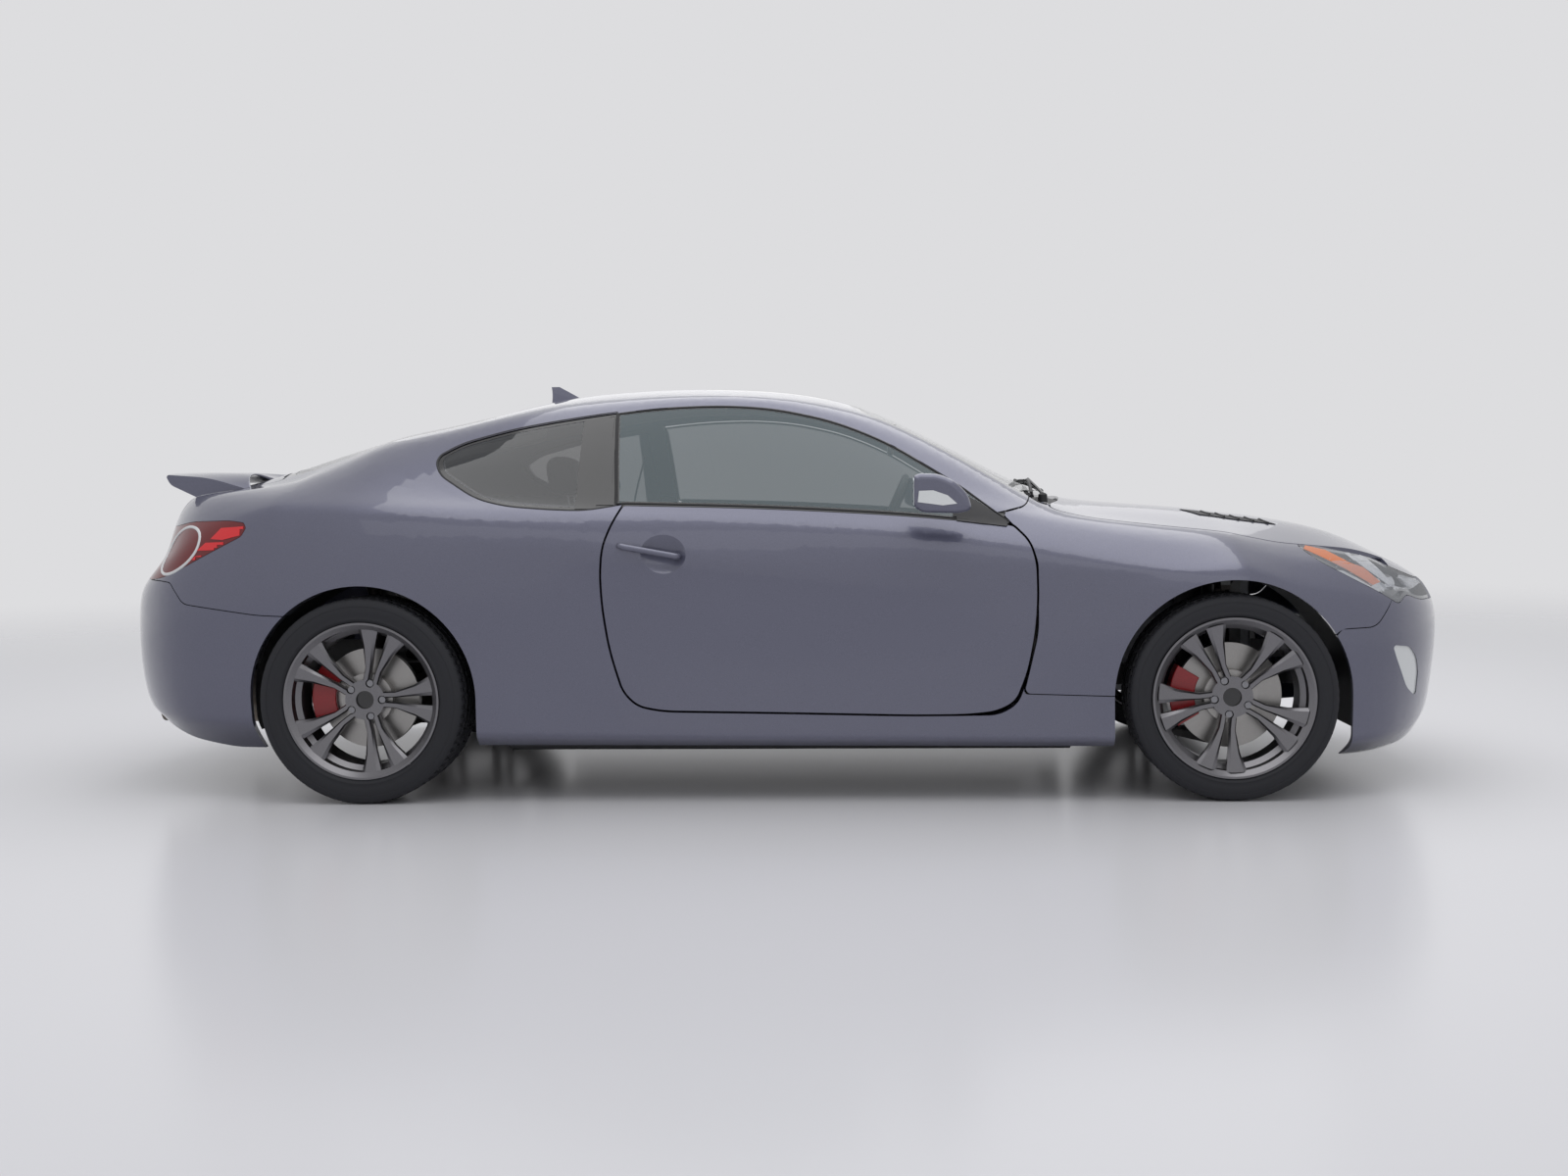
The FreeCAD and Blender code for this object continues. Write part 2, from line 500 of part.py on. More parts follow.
REAR_BACK_SHARES = [(-0.10, 0.340), (-0.175, 0.600), (-0.165, 0.640), (-0.115, 0.635), (0.010, 0.362),
                    (0.0, 0.340)]
REAR_SEAT_WIDTH = 940.0
DASH_SHARES = [(0.640, 0.640), (0.660, 0.660), (0.700, 0.665), (0.805, 0.655), (0.811, 0.600),
               (0.806, 0.45),
               (0.700, 0.42), (0.655, 0.47), (0.640, 0.55)]
DASH_HALF_WIDTH = 696.0
DASH_END_Y = 560.0
CONSOLE_SHARES = [(0.30, 0.24), (0.30, 0.39), (0.48, 0.40), (0.56, 0.37), (0.64, 0.42), (0.66, 0.50),
                  (0.72, 0.50),
                  (0.72, 0.24)]
CONSOLE_HALF_WIDTH = 105.0
WHEEL_RIM_RADIUS = 185.0
WHEEL_GRIP_RADIUS = 14.0
COLUMN_SHARES = (0.612, 0.640)
COLUMN_TILT_DEG = 24.0
STEERING_SIDE = 1
COLUMN_RADIUS = 24.0
COLUMN_LENGTH = 120.0

# Beams, posts and hinge stands
FRONT_BEAM_SHARES = (0.315, 0.375)
REAR_BEAM_SHARES = (0.33, 0.40)
RAIL_Z = 330.0
POST_X = 880.0
POST_Y = 760.0
POST_DEPTH = 60.0
COWL_SUPPORT_HALF_WIDTH = 500.0
FENDER_RAIL_SHARES = (0.525, 0.565)
HOOD_HINGE_X = 912.0
HOOD_HINGE_Y = 600.0
HOOD_HINGE_DROP = 11.0
HOOD_EAR_LENGTH = 130.0
HINGE_LEAF = 10.0
LID_HINGE_X = -1600.0
LID_HINGE_Z = 1045.0
LID_HINGE_Y = 400.0
LID_ARM_ROUTE = ((-0.6, -0.933), (-1.267, -0.833), (-1.333, -0.2))
LID_ARM_REACH = 150.0
LID_ARM_RADIUS = 8.0

# Liners, mirrors, spoiler and fin
LINER_GAP = 6.0
LINER_SHEET = 4.0
LINER_BOTTOM_Z = 230.0
MIRROR_SHARES = [(0.6390, 0.757), (0.6385, 0.690), (0.650, 0.675), (0.690, 0.673), (0.7045, 0.680),
                 (0.7000, 0.715),
                 (0.6860, 0.745), (0.6680, 0.762), (0.6470, 0.764)]
MIRROR_OUT = 1042.0
MIRROR_IN = 922.0
MIRROR_EDGE = 20.0
SPOILER_STATIONS = (0.0, 0.30, 0.50, 0.595)
SPOILER_FRONT_SHARES = ((-0.560, 0.790), (-0.550, 0.788), (-0.530, 0.782), (-0.485, 0.745))
SPOILER_REAR_SHARES = ((-0.845, 0.800), (-0.838, 0.797), (-0.820, 0.792), (-0.805, 0.789))
SPOILER_DEPTHS = (20.0, 22.0, 32.0, 90.0)
FIN_LENGTH = 150.0
FIN_HEIGHT = 60.0
FIN_WIDTH = 42.0
FIN_SHARE = 0.19

# Engine, suspension, driveshaft and exhaust
ENGINE_HALF_WIDTH = 290.0
ENGINE_Z = (285.0, 745.0)
SPRING_RADIUS = 46.0
DAMPER_RADIUS = 22.0
DAMPER_Y = 590.0
ARM_THICKNESS = 24.0
HALFSHAFT_RADIUS = 18.0
DIFF_RADIUS = 78.0
DIFF_DROP = 39.0
DIFF_NOSE_Z = 262.0
DIFF_NOSE_LENGTH = 200.0
PROPSHAFT_RADIUS = 32.0
PROPSHAFT_Z = 255.0
GEARBOX_LENGTH = 420.0
PIPE_RADIUS = 27.0
PIPE_Y = 70.0
PIPE_Z = 128.0
MUFFLER_SHARES = (-0.76, -0.50)


def station_x(share):
    """Where a station share lies along the car."""
    if share < 0:
        return REAR_AXLE_X + share * REAR_OVERHANG
    if share <= 1:
        return REAR_AXLE_X + share * WHEELBASE
    return FRONT_AXLE_X + (share - 1) * FRONT_OVERHANG


def flow(points, at, column):
    """The value of a line at a station share, on a smooth curve through its points."""
    last = len(points) - 1
    if at <= points[0][0]:
        return points[0][column]
    if at >= points[last][0]:
        return points[last][column]
    k = max(i for i in range(last) if points[i][0] <= at)

    def slope(i):
        lo, hi = max(i - 1, 0), min(i + 1, last)
        return (points[hi][column] - points[lo][column]) / (points[hi][0] - points[lo][0])

    span = points[k + 1][0] - points[k][0]
    t = (at - points[k][0]) / span
    rise = points[k + 1][column] - points[k][column]
    start, end = slope(k) * span, slope(k + 1) * span
    bend = t * t * (3 * rise - 2 * start - end) + t * t * t * (start + end - 2 * rise)
    return points[k][column] + t * start + bend


def crown_z(share):
    """Height of the body's middle line at a station share."""
    return ROOF_HEIGHT * flow(CROWN_SHARES, share, 2)


def across(points):
    """A half section's points, from sill to rail, with the lines that carry it on to the crown."""
    rail, crown, sill = points[-2], points[-1], points[0]
    row = [Vec(sill.x, sill.y * UNDERSIDE_TUCK_SHARE, UNDERSIDE_Z)] + list(points[:-1])
    for k in range(CROWN_LINES - 1, -1, -1):
        share = k / CROWN_LINES
        drop = share ** CROWN_POWER
        row.append(Vec(crown.x + (rail.x - crown.x) * drop, rail.y * share,
                       crown.z + (rail.z - crown.z) * drop))
    return row


def middle_row(share):
    """The right half of the section at a station between the two ends."""
    x = station_x(share)
    points = [Vec(x, -HALF_WIDTH * flow(line, share, 1),
                  ROOF_HEIGHT * flow(line, share, 2)) for line in BODY_LINES]
    points.append(Vec(x, 0, crown_z(share)))
    return across(points)


def end_row(angle_deg, nose):
    """The right half of a section that turns round a corner of the car towards its middle."""
    start = MIDDLE_STATION_SHARES[-1] if nose else MIDDLE_STATION_SHARES[0]
    fullness = NOSE_FULLNESS if nose else TAIL_FULLNESS
    x0 = station_x(start)
    forward = math.sin(math.radians(angle_deg)) ** (2 / fullness)
    aside = math.cos(math.radians(angle_deg)) ** (2 / fullness)
    points = []
    for i, line in enumerate(BODY_LINES + [CROWN_SHARES]):
        reach_share, height_share = (NOSE_SHARES if nose else TAIL_SHARES)[i]
        end_x = station_x(1 + reach_share) if nose else station_x(-reach_share)
        z0 = flow(line, start, 2)
        upper_power = HOOD_DROP_POWER if nose else DECK_DROP_POWER
        power = upper_power if i >= len(BODY_LINES) - UPPER_LINES else LOWER_DROP_POWER
        z = ROOF_HEIGHT * (z0 + (height_share - z0) * forward ** power)
        points.append(Vec(x0 + (end_x - x0) * forward, -HALF_WIDTH * flow(line, start, 1) * aside, z))
    return across(points)


def body_rows():
    """Rows of points from the tail round the right side to the nose."""
    turn = END_ANGLES_DEG + [90.0]
    tail = [end_row(a, False) for a in reversed(turn)]
    nose = [end_row(a, True) for a in turn]
    return tail + [middle_row(s) for s in MIDDLE_STATION_SHARES] + nose


def even_knots(count):
    inner = count - 3
    return [k / inner for k in range(inner + 1)], [4] + [1] * (inner - 1) + [4]


def half_body(inset=0.0):
    """The right half of the closed body form, its skin moved inwards by inset."""
    rows = body_rows()
    last_u, last_v = len(rows) - 1, len(rows[0]) - 1
    poles = []
    for i in range(last_u + 1):
        line = []
        for j in range(last_v + 1):
            p = rows[i][j]
            pole = Vec(p)
            if 0 < i < last_u:
                pole -= (rows[i - 1][j] + rows[i + 1][j] - p * 2) / 6
            if 0 < j < last_v:
                pole -= (rows[i][j - 1] + rows[i][j + 1] - p * 2) / 6
            if inset:
                along = rows[min(i + 1, last_u)][j] - rows[max(i - 1, 0)][j]
                around = rows[i][min(j + 1, last_v)] - rows[i][max(j - 1, 0)]
                pole -= along.cross(around).normalize() * inset
            line.append(pole)
        poles.append(line)
    for line in poles:
        line[0].z = UNDERSIDE_Z
        line[-1].y = 0
        line[-2].x, line[-2].z = line[-1].x, line[-1].z
    for end, beside in ((0, 1), (last_u, last_u - 1)):
        for j in range(last_v + 1):
            poles[end][j].y = 0
            poles[beside][j].x, poles[beside][j].z = poles[end][j].x, poles[end][j].z
    surface = Part.BSplineSurface()
    knots_u, times_u = even_knots(last_u + 1)
    knots_v, times_v = even_knots(last_v + 1)
    surface.buildFromPolesMultsKnots(poles, times_u, times_v, knots_u, knots_v, False, False, 3, 3)
    base_line = Part.makeLine(poles[last_u][0], poles[0][0])
    bottom, crown = surface.vIso(0.0).toShape(), surface.vIso(1.0).toShape()
    tail, nose = surface.uIso(0.0).toShape(), surface.uIso(1.0).toShape()
    underside = Part.Face(Part.Wire([bottom, base_line]))
    middle = Part.Face(Part.Wire([tail, crown, nose.reversed(), base_line]))
    shell = Part.Shell([surface.toShape(), underside, middle])
    shell.sewShape()
    solid = Part.Solid(shell)
    if solid.Volume < 0:
        solid.reverse()
    return solid


def moved(shape, x=0.0, y=0.0, z=0.0):
    copy = shape.copy()
    copy.translate(Vec(x, y, z))
    return copy


def mirrored(shape):
    """The same shape on the other side of the car."""
    return shape.mirror(Vec(0, 0, 0), Vec(0, 1, 0))


def both_sides(shape):
    """One solid from a right half that reaches the car's middle plane."""
    return shape.fuse(mirrored(shape)).removeSplitter()


def pair(shape):
    """A right-side shape and its mirror image, kept as separate solids."""
    return Part.makeCompound(shape.Solids + mirrored(shape).Solids)


def block(x0, x1, y0, y1, z0, z1):
    """A box between two corners."""
    return Part.makeBox(x1 - x0, y1 - y0, z1 - z0, Vec(x0, y0, z0))


def rod(radius, start, end):
    """A round bar between two points."""
    return Part.makeCylinder(radius, (end - start).Length, start, end - start)


def bent_bar(points, radius, bend_share=0.4):
    """A round bar along straight runs with an arc at each corner."""
    path = rounded_path(points, bend_share, False)
    ring = Part.Wire([Part.makeCircle(radius, points[0], points[1] - points[0])])
    return path.makePipeShell([ring], True, True)


def rounded_path(points, share, closed=True):
    """A wire of straight runs, with each corner an arc that uses a share of its shorter run."""
    count = len(points)
    edges, starts, ends = [], [None] * count, [None] * count
    for i in range(count):
        p = points[i]
        if not closed and i in (0, count - 1):
            starts[i] = ends[i] = p
            continue
        before, after = points[i - 1] - p, points[(i + 1) % count] - p
        reach = share[i] if isinstance(share, (list, tuple)) else share
        cut = reach * min(before.Length, after.Length)
        a, b = Vec(before).normalize(), Vec(after).normalize()
        half = a.getAngle(b) / 2
        if cut <= 0 or math.cos(half) < 1e-3:
            starts[i] = ends[i] = p
            continue
        starts[i], ends[i] = p + a * cut, p + b * cut
        centre_reach = cut / math.cos(half)
        top = p + (a + b).normalize() * (centre_reach - cut * math.tan(half))
        edges.append((i, Part.Arc(starts[i], top, ends[i]).toShape()))
    arcs = dict(edges)
    ordered = []
    for i in range(count):
        if i in arcs:
            ordered.append(arcs[i])
        j = (i + 1) % count
        if (closed or i < count - 1) and (starts[j] - ends[i]).Length > 1e-6:
            ordered.append(Part.makeLine(ends[i], starts[j]))
    return Part.Wire(ordered)


def grown(points, distance):
    """A flat outline's corners moved outwards by a distance, or inwards where it is negative."""
    area = sum(points[i - 1][0] * points[i][1] - points[i][0]
               * points[i - 1][1] for i in range(len(points)))
    sign = 1 if area > 0 else -1
    moved_points = []
    for i in range(len(points)):
        (ax, ay), (bx, by), (cx, cy) = points[i - 1][:2], points[i][:2], points[(i + 1) % len(points)][:2]
        first, second = math.hypot(bx - ax, by - ay), math.hypot(cx - bx, cy - by)
        n1 = ((by - ay) / first, -(bx - ax) / first)
        n2 = ((cy - by) / second, -(cx - bx) / second)
        scale = sign * distance / max(1 + n1[0] * n2[0] + n1[1] * n2[1], 0.35)
        moved_points.append((bx + (n1[0] + n2[0]) * scale, by + (n1[1] + n2[1]) * scale))
    return moved_points


def side_points(shares):
    return [(station_x(s[0]), s[1] * ROOF_HEIGHT) for s in shares]


def plan_points(shares):
    return [(station_x(s[0]), -s[1] * HALF_WIDTH) for s in shares]


def front_points(shares):
    return [(-s[0] * HALF_WIDTH, s[1] * ROOF_HEIGHT) for s in shares]


def side_prism(points, grow=0.0, corner=CORNER_SHARE, near=None, far=None):
    """A side-view outline carried across the right side of the car."""
    near = -HALF_WIDTH - OVERRUN if near is None else near
    far = OVERRUN if far is None else far
    outline = grown(points, grow) if grow else points
    wire = rounded_path([Vec(x, near, z) for x, z in outline], corner)
    return Part.Face(wire).extrude(Vec(0, far - near, 0))


def plan_prism(points, grow=0.0, corner=CORNER_SHARE, low=None, high=None):
    """A plan-view outline carried up through the car."""
    low = UNDERSIDE_Z - OVERRUN if low is None else low
    high = ROOF_HEIGHT + OVERRUN if high is None else high
    outline = grown(points, grow) if grow else points
    wire = rounded_path([Vec(x, y, low) for x, y in outline], corner)
    return Part.Face(wire).extrude(Vec(0, 0, high - low))


def front_prism(points, x0, x1, grow=0.0, corner=TIGHT_CORNER_SHARE):
    """A front-view outline carried along the car."""
    outline = grown(points, grow) if grow else points
    wire = rounded_path([Vec(x0, y, z) for y, z in outline], corner)
    return Part.Face(wire).extrude(Vec(x1 - x0, 0, 0))


solids = {}


def form(inset):
    """The half body form at an inset, made once."""
    if inset not in solids:
        solids[inset] = half_body(inset)
    return solids[inset]


def skin(region, outer, inner):
    """The part of the skin between two insets that lies in a region."""
    return form(outer).common(region).cut(form(inner))


def side_wall():
    """A skin at least a panel thick, and a whole wall thick where it faces sideways."""
    if "wall" not in solids:
        solids["wall"] = form(0.0).cut(form(PANEL_THICKNESS).common(moved(form(0.0), y=WALL_THICKNESS)))
    return solids["wall"]


def cabin_space():
    """What lies inside the side walls and panels, a seat gap clear of them."""
    if "space" not in solids:
        clear = moved(form(0.0), y=WALL_THICKNESS + SEAT_GAP)
        solids["space"] = form(PANEL_THICKNESS + SEAT_GAP).common(clear)
    return solids["space"]


def side_region(shares, grow=0.0, corner=CORNER_SHARE, near=None, far=None):
    return side_prism(side_points(shares), grow, corner, near, far)


def plan_region(shares, grow=0.0, corner=CORNER_SHARE, low=None, high=None):
    return plan_prism(plan_points(shares), grow, corner, low, high)


def wheel_arch(axle_x, radius, tyre_radius, inner_y):
    """The round opening over a wheel, straight below the axle."""
    start, end = Vec(axle_x, -HALF_WIDTH - OVERRUN, tyre_radius), Vec(axle_x, inner_y, tyre_radius)
    below = block(axle_x - radius, axle_x + radius, start.y, inner_y, 0, tyre_radius)
    return rod(radius, start, end).fuse(below)


def arches(grow=0.0):
    inner_y = -HALF_WIDTH * ARCH_INNER_SHARE
    front = wheel_arch(FRONT_AXLE_X, ARCH_RADIUS + grow, FRONT_TYRE_RADIUS, inner_y)
    return front.fuse(wheel_arch(REAR_AXLE_X, ARCH_RADIUS + grow, REAR_TYRE_RADIUS, inner_y))


def skin_y(x, z):
    """Where the right side of the body lies at a place seen from the side."""
    line = Part.makeLine(Vec(x, -HALF_WIDTH - OVERRUN, z), Vec(x, 0, z))
    return min(v.Point.y for v in line.common(form(0.0)).Vertexes)


def door_panel():
    """The door as one panel with its inner trim, hinge barrels and strap handle."""
    outline = DOOR_SHARES[:DOOR_TOE_START] + DOOR_TOE_SHARES + DOOR_SHARES[DOOR_TOE_START
                                                                           + DOOR_TOE_POINTS:]
    door = side_wall().common(side_region(outline, -DOOR_GAP / 2, DOOR_CORNERS_SHARE))
    x, z = station_x(HANDLE_SHARES[0]), HANDLE_SHARES[1] * ROOF_HEIGHT
    y = skin_y(x, z)
    depth, across_bowl = HANDLE_BOWL_DEPTH, HANDLE_BOWL_RADIUS
    ball_radius = (across_bowl ** 2 + depth ** 2) / (2 * depth)
    ball = Part.makeSphere(ball_radius, Vec(x + HANDLE_BOWL_SHIFT, y - ball_radius + depth, z))
    door = door.cut(ball)
    half, thick = HANDLE_LENGTH / 2, HANDLE_THICKNESS
    ends = [Vec(x - half, y + thick, z + thick), Vec(x - half, y - thick, z + thick),
            Vec(x + half, y - thick, z - thick), Vec(x + half, y + thick, z - thick)]
    door = door.fuse(bent_bar(ends, thick * HANDLE_RADIUS_SHARE, HANDLE_BEND_SHARE))
    for height in HINGE_HEIGHTS:
        door = door.cut(hinge_pocket(height))
    for height in HINGE_HEIGHTS:
        low = Vec(DOOR_HINGE_X, -DOOR_HINGE_Y, height - HINGE_BARREL_LENGTH / 2)
        high = Vec(DOOR_HINGE_X, -DOOR_HINGE_Y, height + HINGE_BARREL_LENGTH / 2)
        leaf = block(DOOR_HINGE_X - HINGE_POCKET - LEAF_OVERLAP, DOOR_HINGE_X, -DOOR_HINGE_Y - LEAF_HALF,
                     -DOOR_HINGE_Y + LEAF_HALF,
                     low.z, high.z)
        barrel = rod(DOOR_BARREL_RADIUS, low, high).fuse(leaf)
        door = door.fuse(barrel).cut(rod(DOOR_PIN_RADIUS + RUNNING_GAP, low, high))
    return door


def hinge_pocket(height):
    """Room in the door's front edge for a hinge and the swing of its arm."""
    reach = HINGE_BARREL_LENGTH / 2 + 2 * HINGE_LEAF
    front = station_x(DOOR_SHARES[DOOR_FRONT_POINT][0]) + OVERRUN
    pocket = block(DOOR_HINGE_X - HINGE_POCKET, front, -HALF_WIDTH, 2 * WALL_THICKNESS - DOOR_HINGE_Y,
                   height - reach, height + reach)
    return pocket.common(form(DOOR_SKIN))


def door_glass():
    """The frameless side window, standing on the door's top edge."""
    pane = side_region(WINDOW_SHARES, -LID_GAP, WINDOW_CORNERS_SHARE)
    foot = side_region(DOOR_SHARES, DOOR_GAP / 2 - SEAT_GAP, DOOR_CORNERS_SHARE)
    pane = pane.fuse(moved(pane, z=-2 * DOOR_GAP).common(foot))
    glass = skin(pane, GLASS_RECESS, GLASS_RECESS + GLASS_THICKNESS)
    glass = glass.cut(side_region(DOOR_SHARES, SEAT_GAP - DOOR_GAP / 2, DOOR_CORNERS_SHARE))
    return glass.cut(behind_pillar(0.0))


def behind_pillar(shift):
    """Everything behind the line where the two side windows meet."""
    (top_x, top_z), (low_x, low_z) = side_points(PILLAR_LINE_SHARES)
    rear = station_x(-1) - OVERRUN
    return side_prism([(top_x + shift, top_z), (low_x + shift, low_z), (rear, low_z), (rear, top_z)], 0,
                      SHARP_CORNER_SHARE)


def quarter_glass():
    pane = side_region(WINDOW_SHARES, -SEAT_GAP, WINDOW_CORNERS_SHARE).common(behind_pillar(-LID_GAP))
    return skin(pane, GLASS_RECESS, GLASS_RECESS + GLASS_THICKNESS)


def window_flange():
    """The ledge behind the quarter glass and the pillar between the side windows."""
    seat = GLASS_RECESS + GLASS_THICKNESS + SEAT_GAP
    ring = side_region(WINDOW_SHARES, FLANGE_WIDTH / 2, WINDOW_CORNERS_SHARE)
    ring = ring.cut(side_region(WINDOW_SHARES, -FLANGE_WIDTH,
                                TIGHT_CORNER_SHARE)).common(behind_pillar(-LID_GAP))
    pillar = behind_pillar(-LID_GAP).cut(behind_pillar(-LID_GAP - PILLAR_WIDTH))
    pillar = pillar.common(side_region(WINDOW_SHARES, FLANGE_WIDTH, TIGHT_CORNER_SHARE))
    pillar = pillar.cut(side_region(DOOR_SHARES, DOOR_GAP / 2, DOOR_CORNERS_SHARE))
    return skin(ring, seat, PANEL_THICKNESS).fuse(skin(pillar, seat, WALL_THICKNESS * PILLAR_DEPTH_SHARE))


def centre_cut(grow):
    """The plan regions of the glass, roof, hood, cowl and trunk lid."""
    key = ("centre", grow)
    if key not in solids:
        cut = plan_region(WINDSHIELD_SHARES, grow)
        for shares in (ROOF_SHARES, REAR_GLASS_SHARES, COWL_SHARES):
            cut = cut.fuse(plan_region(shares, grow))
        cut = cut.fuse(plan_region(HOOD_SHARES, grow + LID_GAP / 2))
        low = LID_BOTTOM_SHARE * ROOF_HEIGHT
        solids[key] = cut.fuse(plan_region(TRUNK_LID_SHARES, grow + LID_GAP / 2, low=low - LID_GAP / 2))
    return solids[key]


def tail_lamp_region(grow):
    inner = -HALF_WIDTH * TAIL_LAMP_INNER_SHARE
    return side_region(TAIL_LAMP_SHARES, grow, TIGHT_CORNER_SHARE, far=inner + grow)


def headlamp_region(grow):
    inner = -HALF_WIDTH * HEADLAMP_INNER_SHARE
    return side_region(HEADLAMP_SHARES, grow, HOOD_CORNER_SHARE, far=inner + grow)


def body_side():
    """Quarter panel, sill, pillars and roof rail in one, with the door and window openings cut."""
    side = side_wall().common(side_region(SIDE_SHARES, -SHUT_GAP / 2, SMALL_CORNER_SHARE))
    side = side.cut(side_region(DOOR_SHARES, DOOR_GAP / 2, DOOR_CORNERS_SHARE))
    side = side.cut(side_region(WINDOW_SHARES, 0, WINDOW_CORNERS_SHARE))
    side = side.cut(centre_cut(SEAT_GAP)).cut(tail_lamp_region(SHUT_GAP / 2))
    side = side.cut(arches()).cut(side_region(SILL_BOTTOM_SHARES, 0, TIGHT_CORNER_SHARE))
    side = side.fuse(window_flange())
    return largest(side)


def largest(shape):
    """The biggest solid of a cut shape."""
    return max(shape.Solids, key=lambda s: s.Volume)


def front_fender():
    panel = skin(side_region(FENDER_SHARES, -SHUT_GAP / 2, TIGHT_CORNER_SHARE), 0.0, PANEL_THICKNESS)
    panel = panel.cut(side_region(DOOR_SHARES, DOOR_GAP / 2, DOOR_CORNERS_SHARE))
    panel = panel.cut(centre_cut(SHUT_GAP / 2)).cut(headlamp_region(SHUT_GAP / 2)).cut(arches())
    return largest(panel)


def front_bumper():
    """The nose panel with its grille and lamp openings."""
    panel = skin(side_region(FRONT_BUMPER_SHARES, -SHUT_GAP / 2, TIGHT_CORNER_SHARE), 0.0, PANEL_THICKNESS)
    panel = panel.cut(side_region(FENDER_CUT_SHARES, SHUT_GAP / 2, TIGHT_CORNER_SHARE))
    panel = panel.cut(centre_cut(SHUT_GAP / 2)).cut(headlamp_region(SHUT_GAP / 2)).cut(arches())
    panel = panel.cut(side_region(FOG_LAMP_SHARES, 0, TIGHT_CORNER_SHARE,
                                  far=-HALF_WIDTH * FOG_LAMP_INNER_SHARE))
    nose = station_x(2)
    panel = panel.cut(front_prism(front_points(GRILLE_SHARES), nose - GRILLE_REACH, nose + OVERRUN))
    return both_sides(largest(panel))


def grille():
    """The dark mesh in the nose: a rim, level slats and upright bars."""
    nose = station_x(2)
    opening = front_points(GRILLE_SHARES)
    whole = front_prism(opening, nose - GRILLE_REACH, nose + OVERRUN, -SEAT_GAP)
    rim = whole.cut(front_prism(opening, nose - GRILLE_REACH, nose + OVERRUN,
                                -GRILLE_RIM_BARS * GRILLE_BAR))
    top, low = GRILLE_SHARES[0][1] * ROOF_HEIGHT, GRILLE_SHARES[-1][1] * ROOF_HEIGHT
    bars = []
    for k in range(1, GRILLE_SLATS + 1):
        z = low + (top - low) * k / (GRILLE_SLATS + 1)
        bars.append(block(nose - GRILLE_REACH, nose + OVERRUN, -HALF_WIDTH, OVERRUN, z - GRILLE_BAR / 2,
                          z + GRILLE_BAR / 2))
    for share in GRILLE_POSTS_SHARES:
        y = -share * HALF_WIDTH
        bars.append(block(nose - GRILLE_REACH, nose + OVERRUN, y - GRILLE_BAR / 2, y + GRILLE_BAR / 2, low,
                          top))
    mesh = rim.fuse(bars).common(whole)
    return both_sides(skin(mesh, PANEL_THICKNESS * GRILLE_INSET_SHARE,
                           PANEL_THICKNESS * GRILLE_INSET_SHARE + GRILLE_DEPTH))


def rear_bumper():
    panel = skin(side_region(REAR_BUMPER_SHARES, -SHUT_GAP / 2, SMALL_CORNER_SHARE), 0.0, PANEL_THICKNESS)
    panel = panel.cut(tail_lamp_region(SHUT_GAP / 2)).cut(arches())
    tail = station_x(-1)
    panel = panel.cut(front_prism(front_points(DIFFUSER_SHARES), tail - OVERRUN, tail + DIFFUSER_REACH))
    return both_sides(largest(panel))


def rear_diffuser():
    """The dark lower rear panel with its fins and tailpipe openings."""
    tail = station_x(-1)
    lower = side_region(REAR_BUMPER_SHARES, -SHUT_GAP / 2, SMALL_CORNER_SHARE)
    zone = front_prism(front_points(DIFFUSER_SHARES), tail - OVERRUN, tail + DIFFUSER_REACH, -SEAT_GAP)
    zone = zone.common(lower)
    panel = skin(zone, GLASS_RECESS, PANEL_THICKNESS)
    for share in DIFFUSER_FINS:
        y = -share * HALF_WIDTH
        fin = block(tail - OVERRUN, tail + DIFFUSER_REACH, y - GRILLE_BAR / 2, y + GRILLE_BAR / 2, 0,
                    DIFFUSER_SHARES[0][1]
                    * ROOF_HEIGHT - OVERRUN)
        panel = panel.fuse(skin(zone.common(fin), -2 * GRILLE_BAR, PANEL_THICKNESS))
    pipe = rod(TIP_RADIUS + SHUT_GAP, Vec(tail - OVERRUN, -TIP_Y, TIP_Z),
               Vec(tail + DIFFUSER_REACH, -TIP_Y, TIP_Z))
    return both_sides(largest(panel.cut(pipe)))


def headlamp_lens():
    return skin(headlamp_region(0), 0.0, GLASS_THICKNESS).cut(centre_cut(SHUT_GAP / 2))


def headlamp_unit():
    """The lamp's inner housing: a bowl that follows the lens, with two projectors."""
    housing = skin(headlamp_region(-SEAT_GAP), LAMP_DEPTH * HOUSING_FRONT_SHARE,
                   LAMP_DEPTH * HOUSING_BACK_SHARE)
    rim = skin(headlamp_region(-SEAT_GAP).cut(headlamp_region(-GRILLE_BAR)), GLASS_THICKNESS + SEAT_GAP,
               LAMP_DEPTH)
    unit = housing.fuse(rim)
    for share_x, share_z in BOWL_SHARES:
        x, z = station_x(share_x), share_z * ROOF_HEIGHT
        y = skin_y(x, z)
        eye = Part.makeSphere(BOWL_RADIUS * EYE_SHARE,
                              Vec(x - BOWL_RADIUS * EYE_SHIFT_SHARE, y + LAMP_DEPTH, z))
        unit = unit.fuse(eye.common(form(GLASS_THICKNESS * 2)).common(headlamp_region(-GRILLE_BAR)))
    return largest(unit.cut(centre_cut(SHUT_GAP / 2)))


def tail_lamp():
    return skin(tail_lamp_region(0), 0.0, LAMP_DEPTH * LAMP_BODY_SHARE).cut(centre_cut(SHUT_GAP / 2))


def fog_lamp():
    inner = -HALF_WIDTH * FOG_LAMP_INNER_SHARE - SEAT_GAP
    return largest(skin(side_region(FOG_LAMP_SHARES, -SEAT_GAP, TIGHT_CORNER_SHARE, far=inner),
                        GLASS_RECESS, LAMP_DEPTH * LAMP_BODY_SHARE))


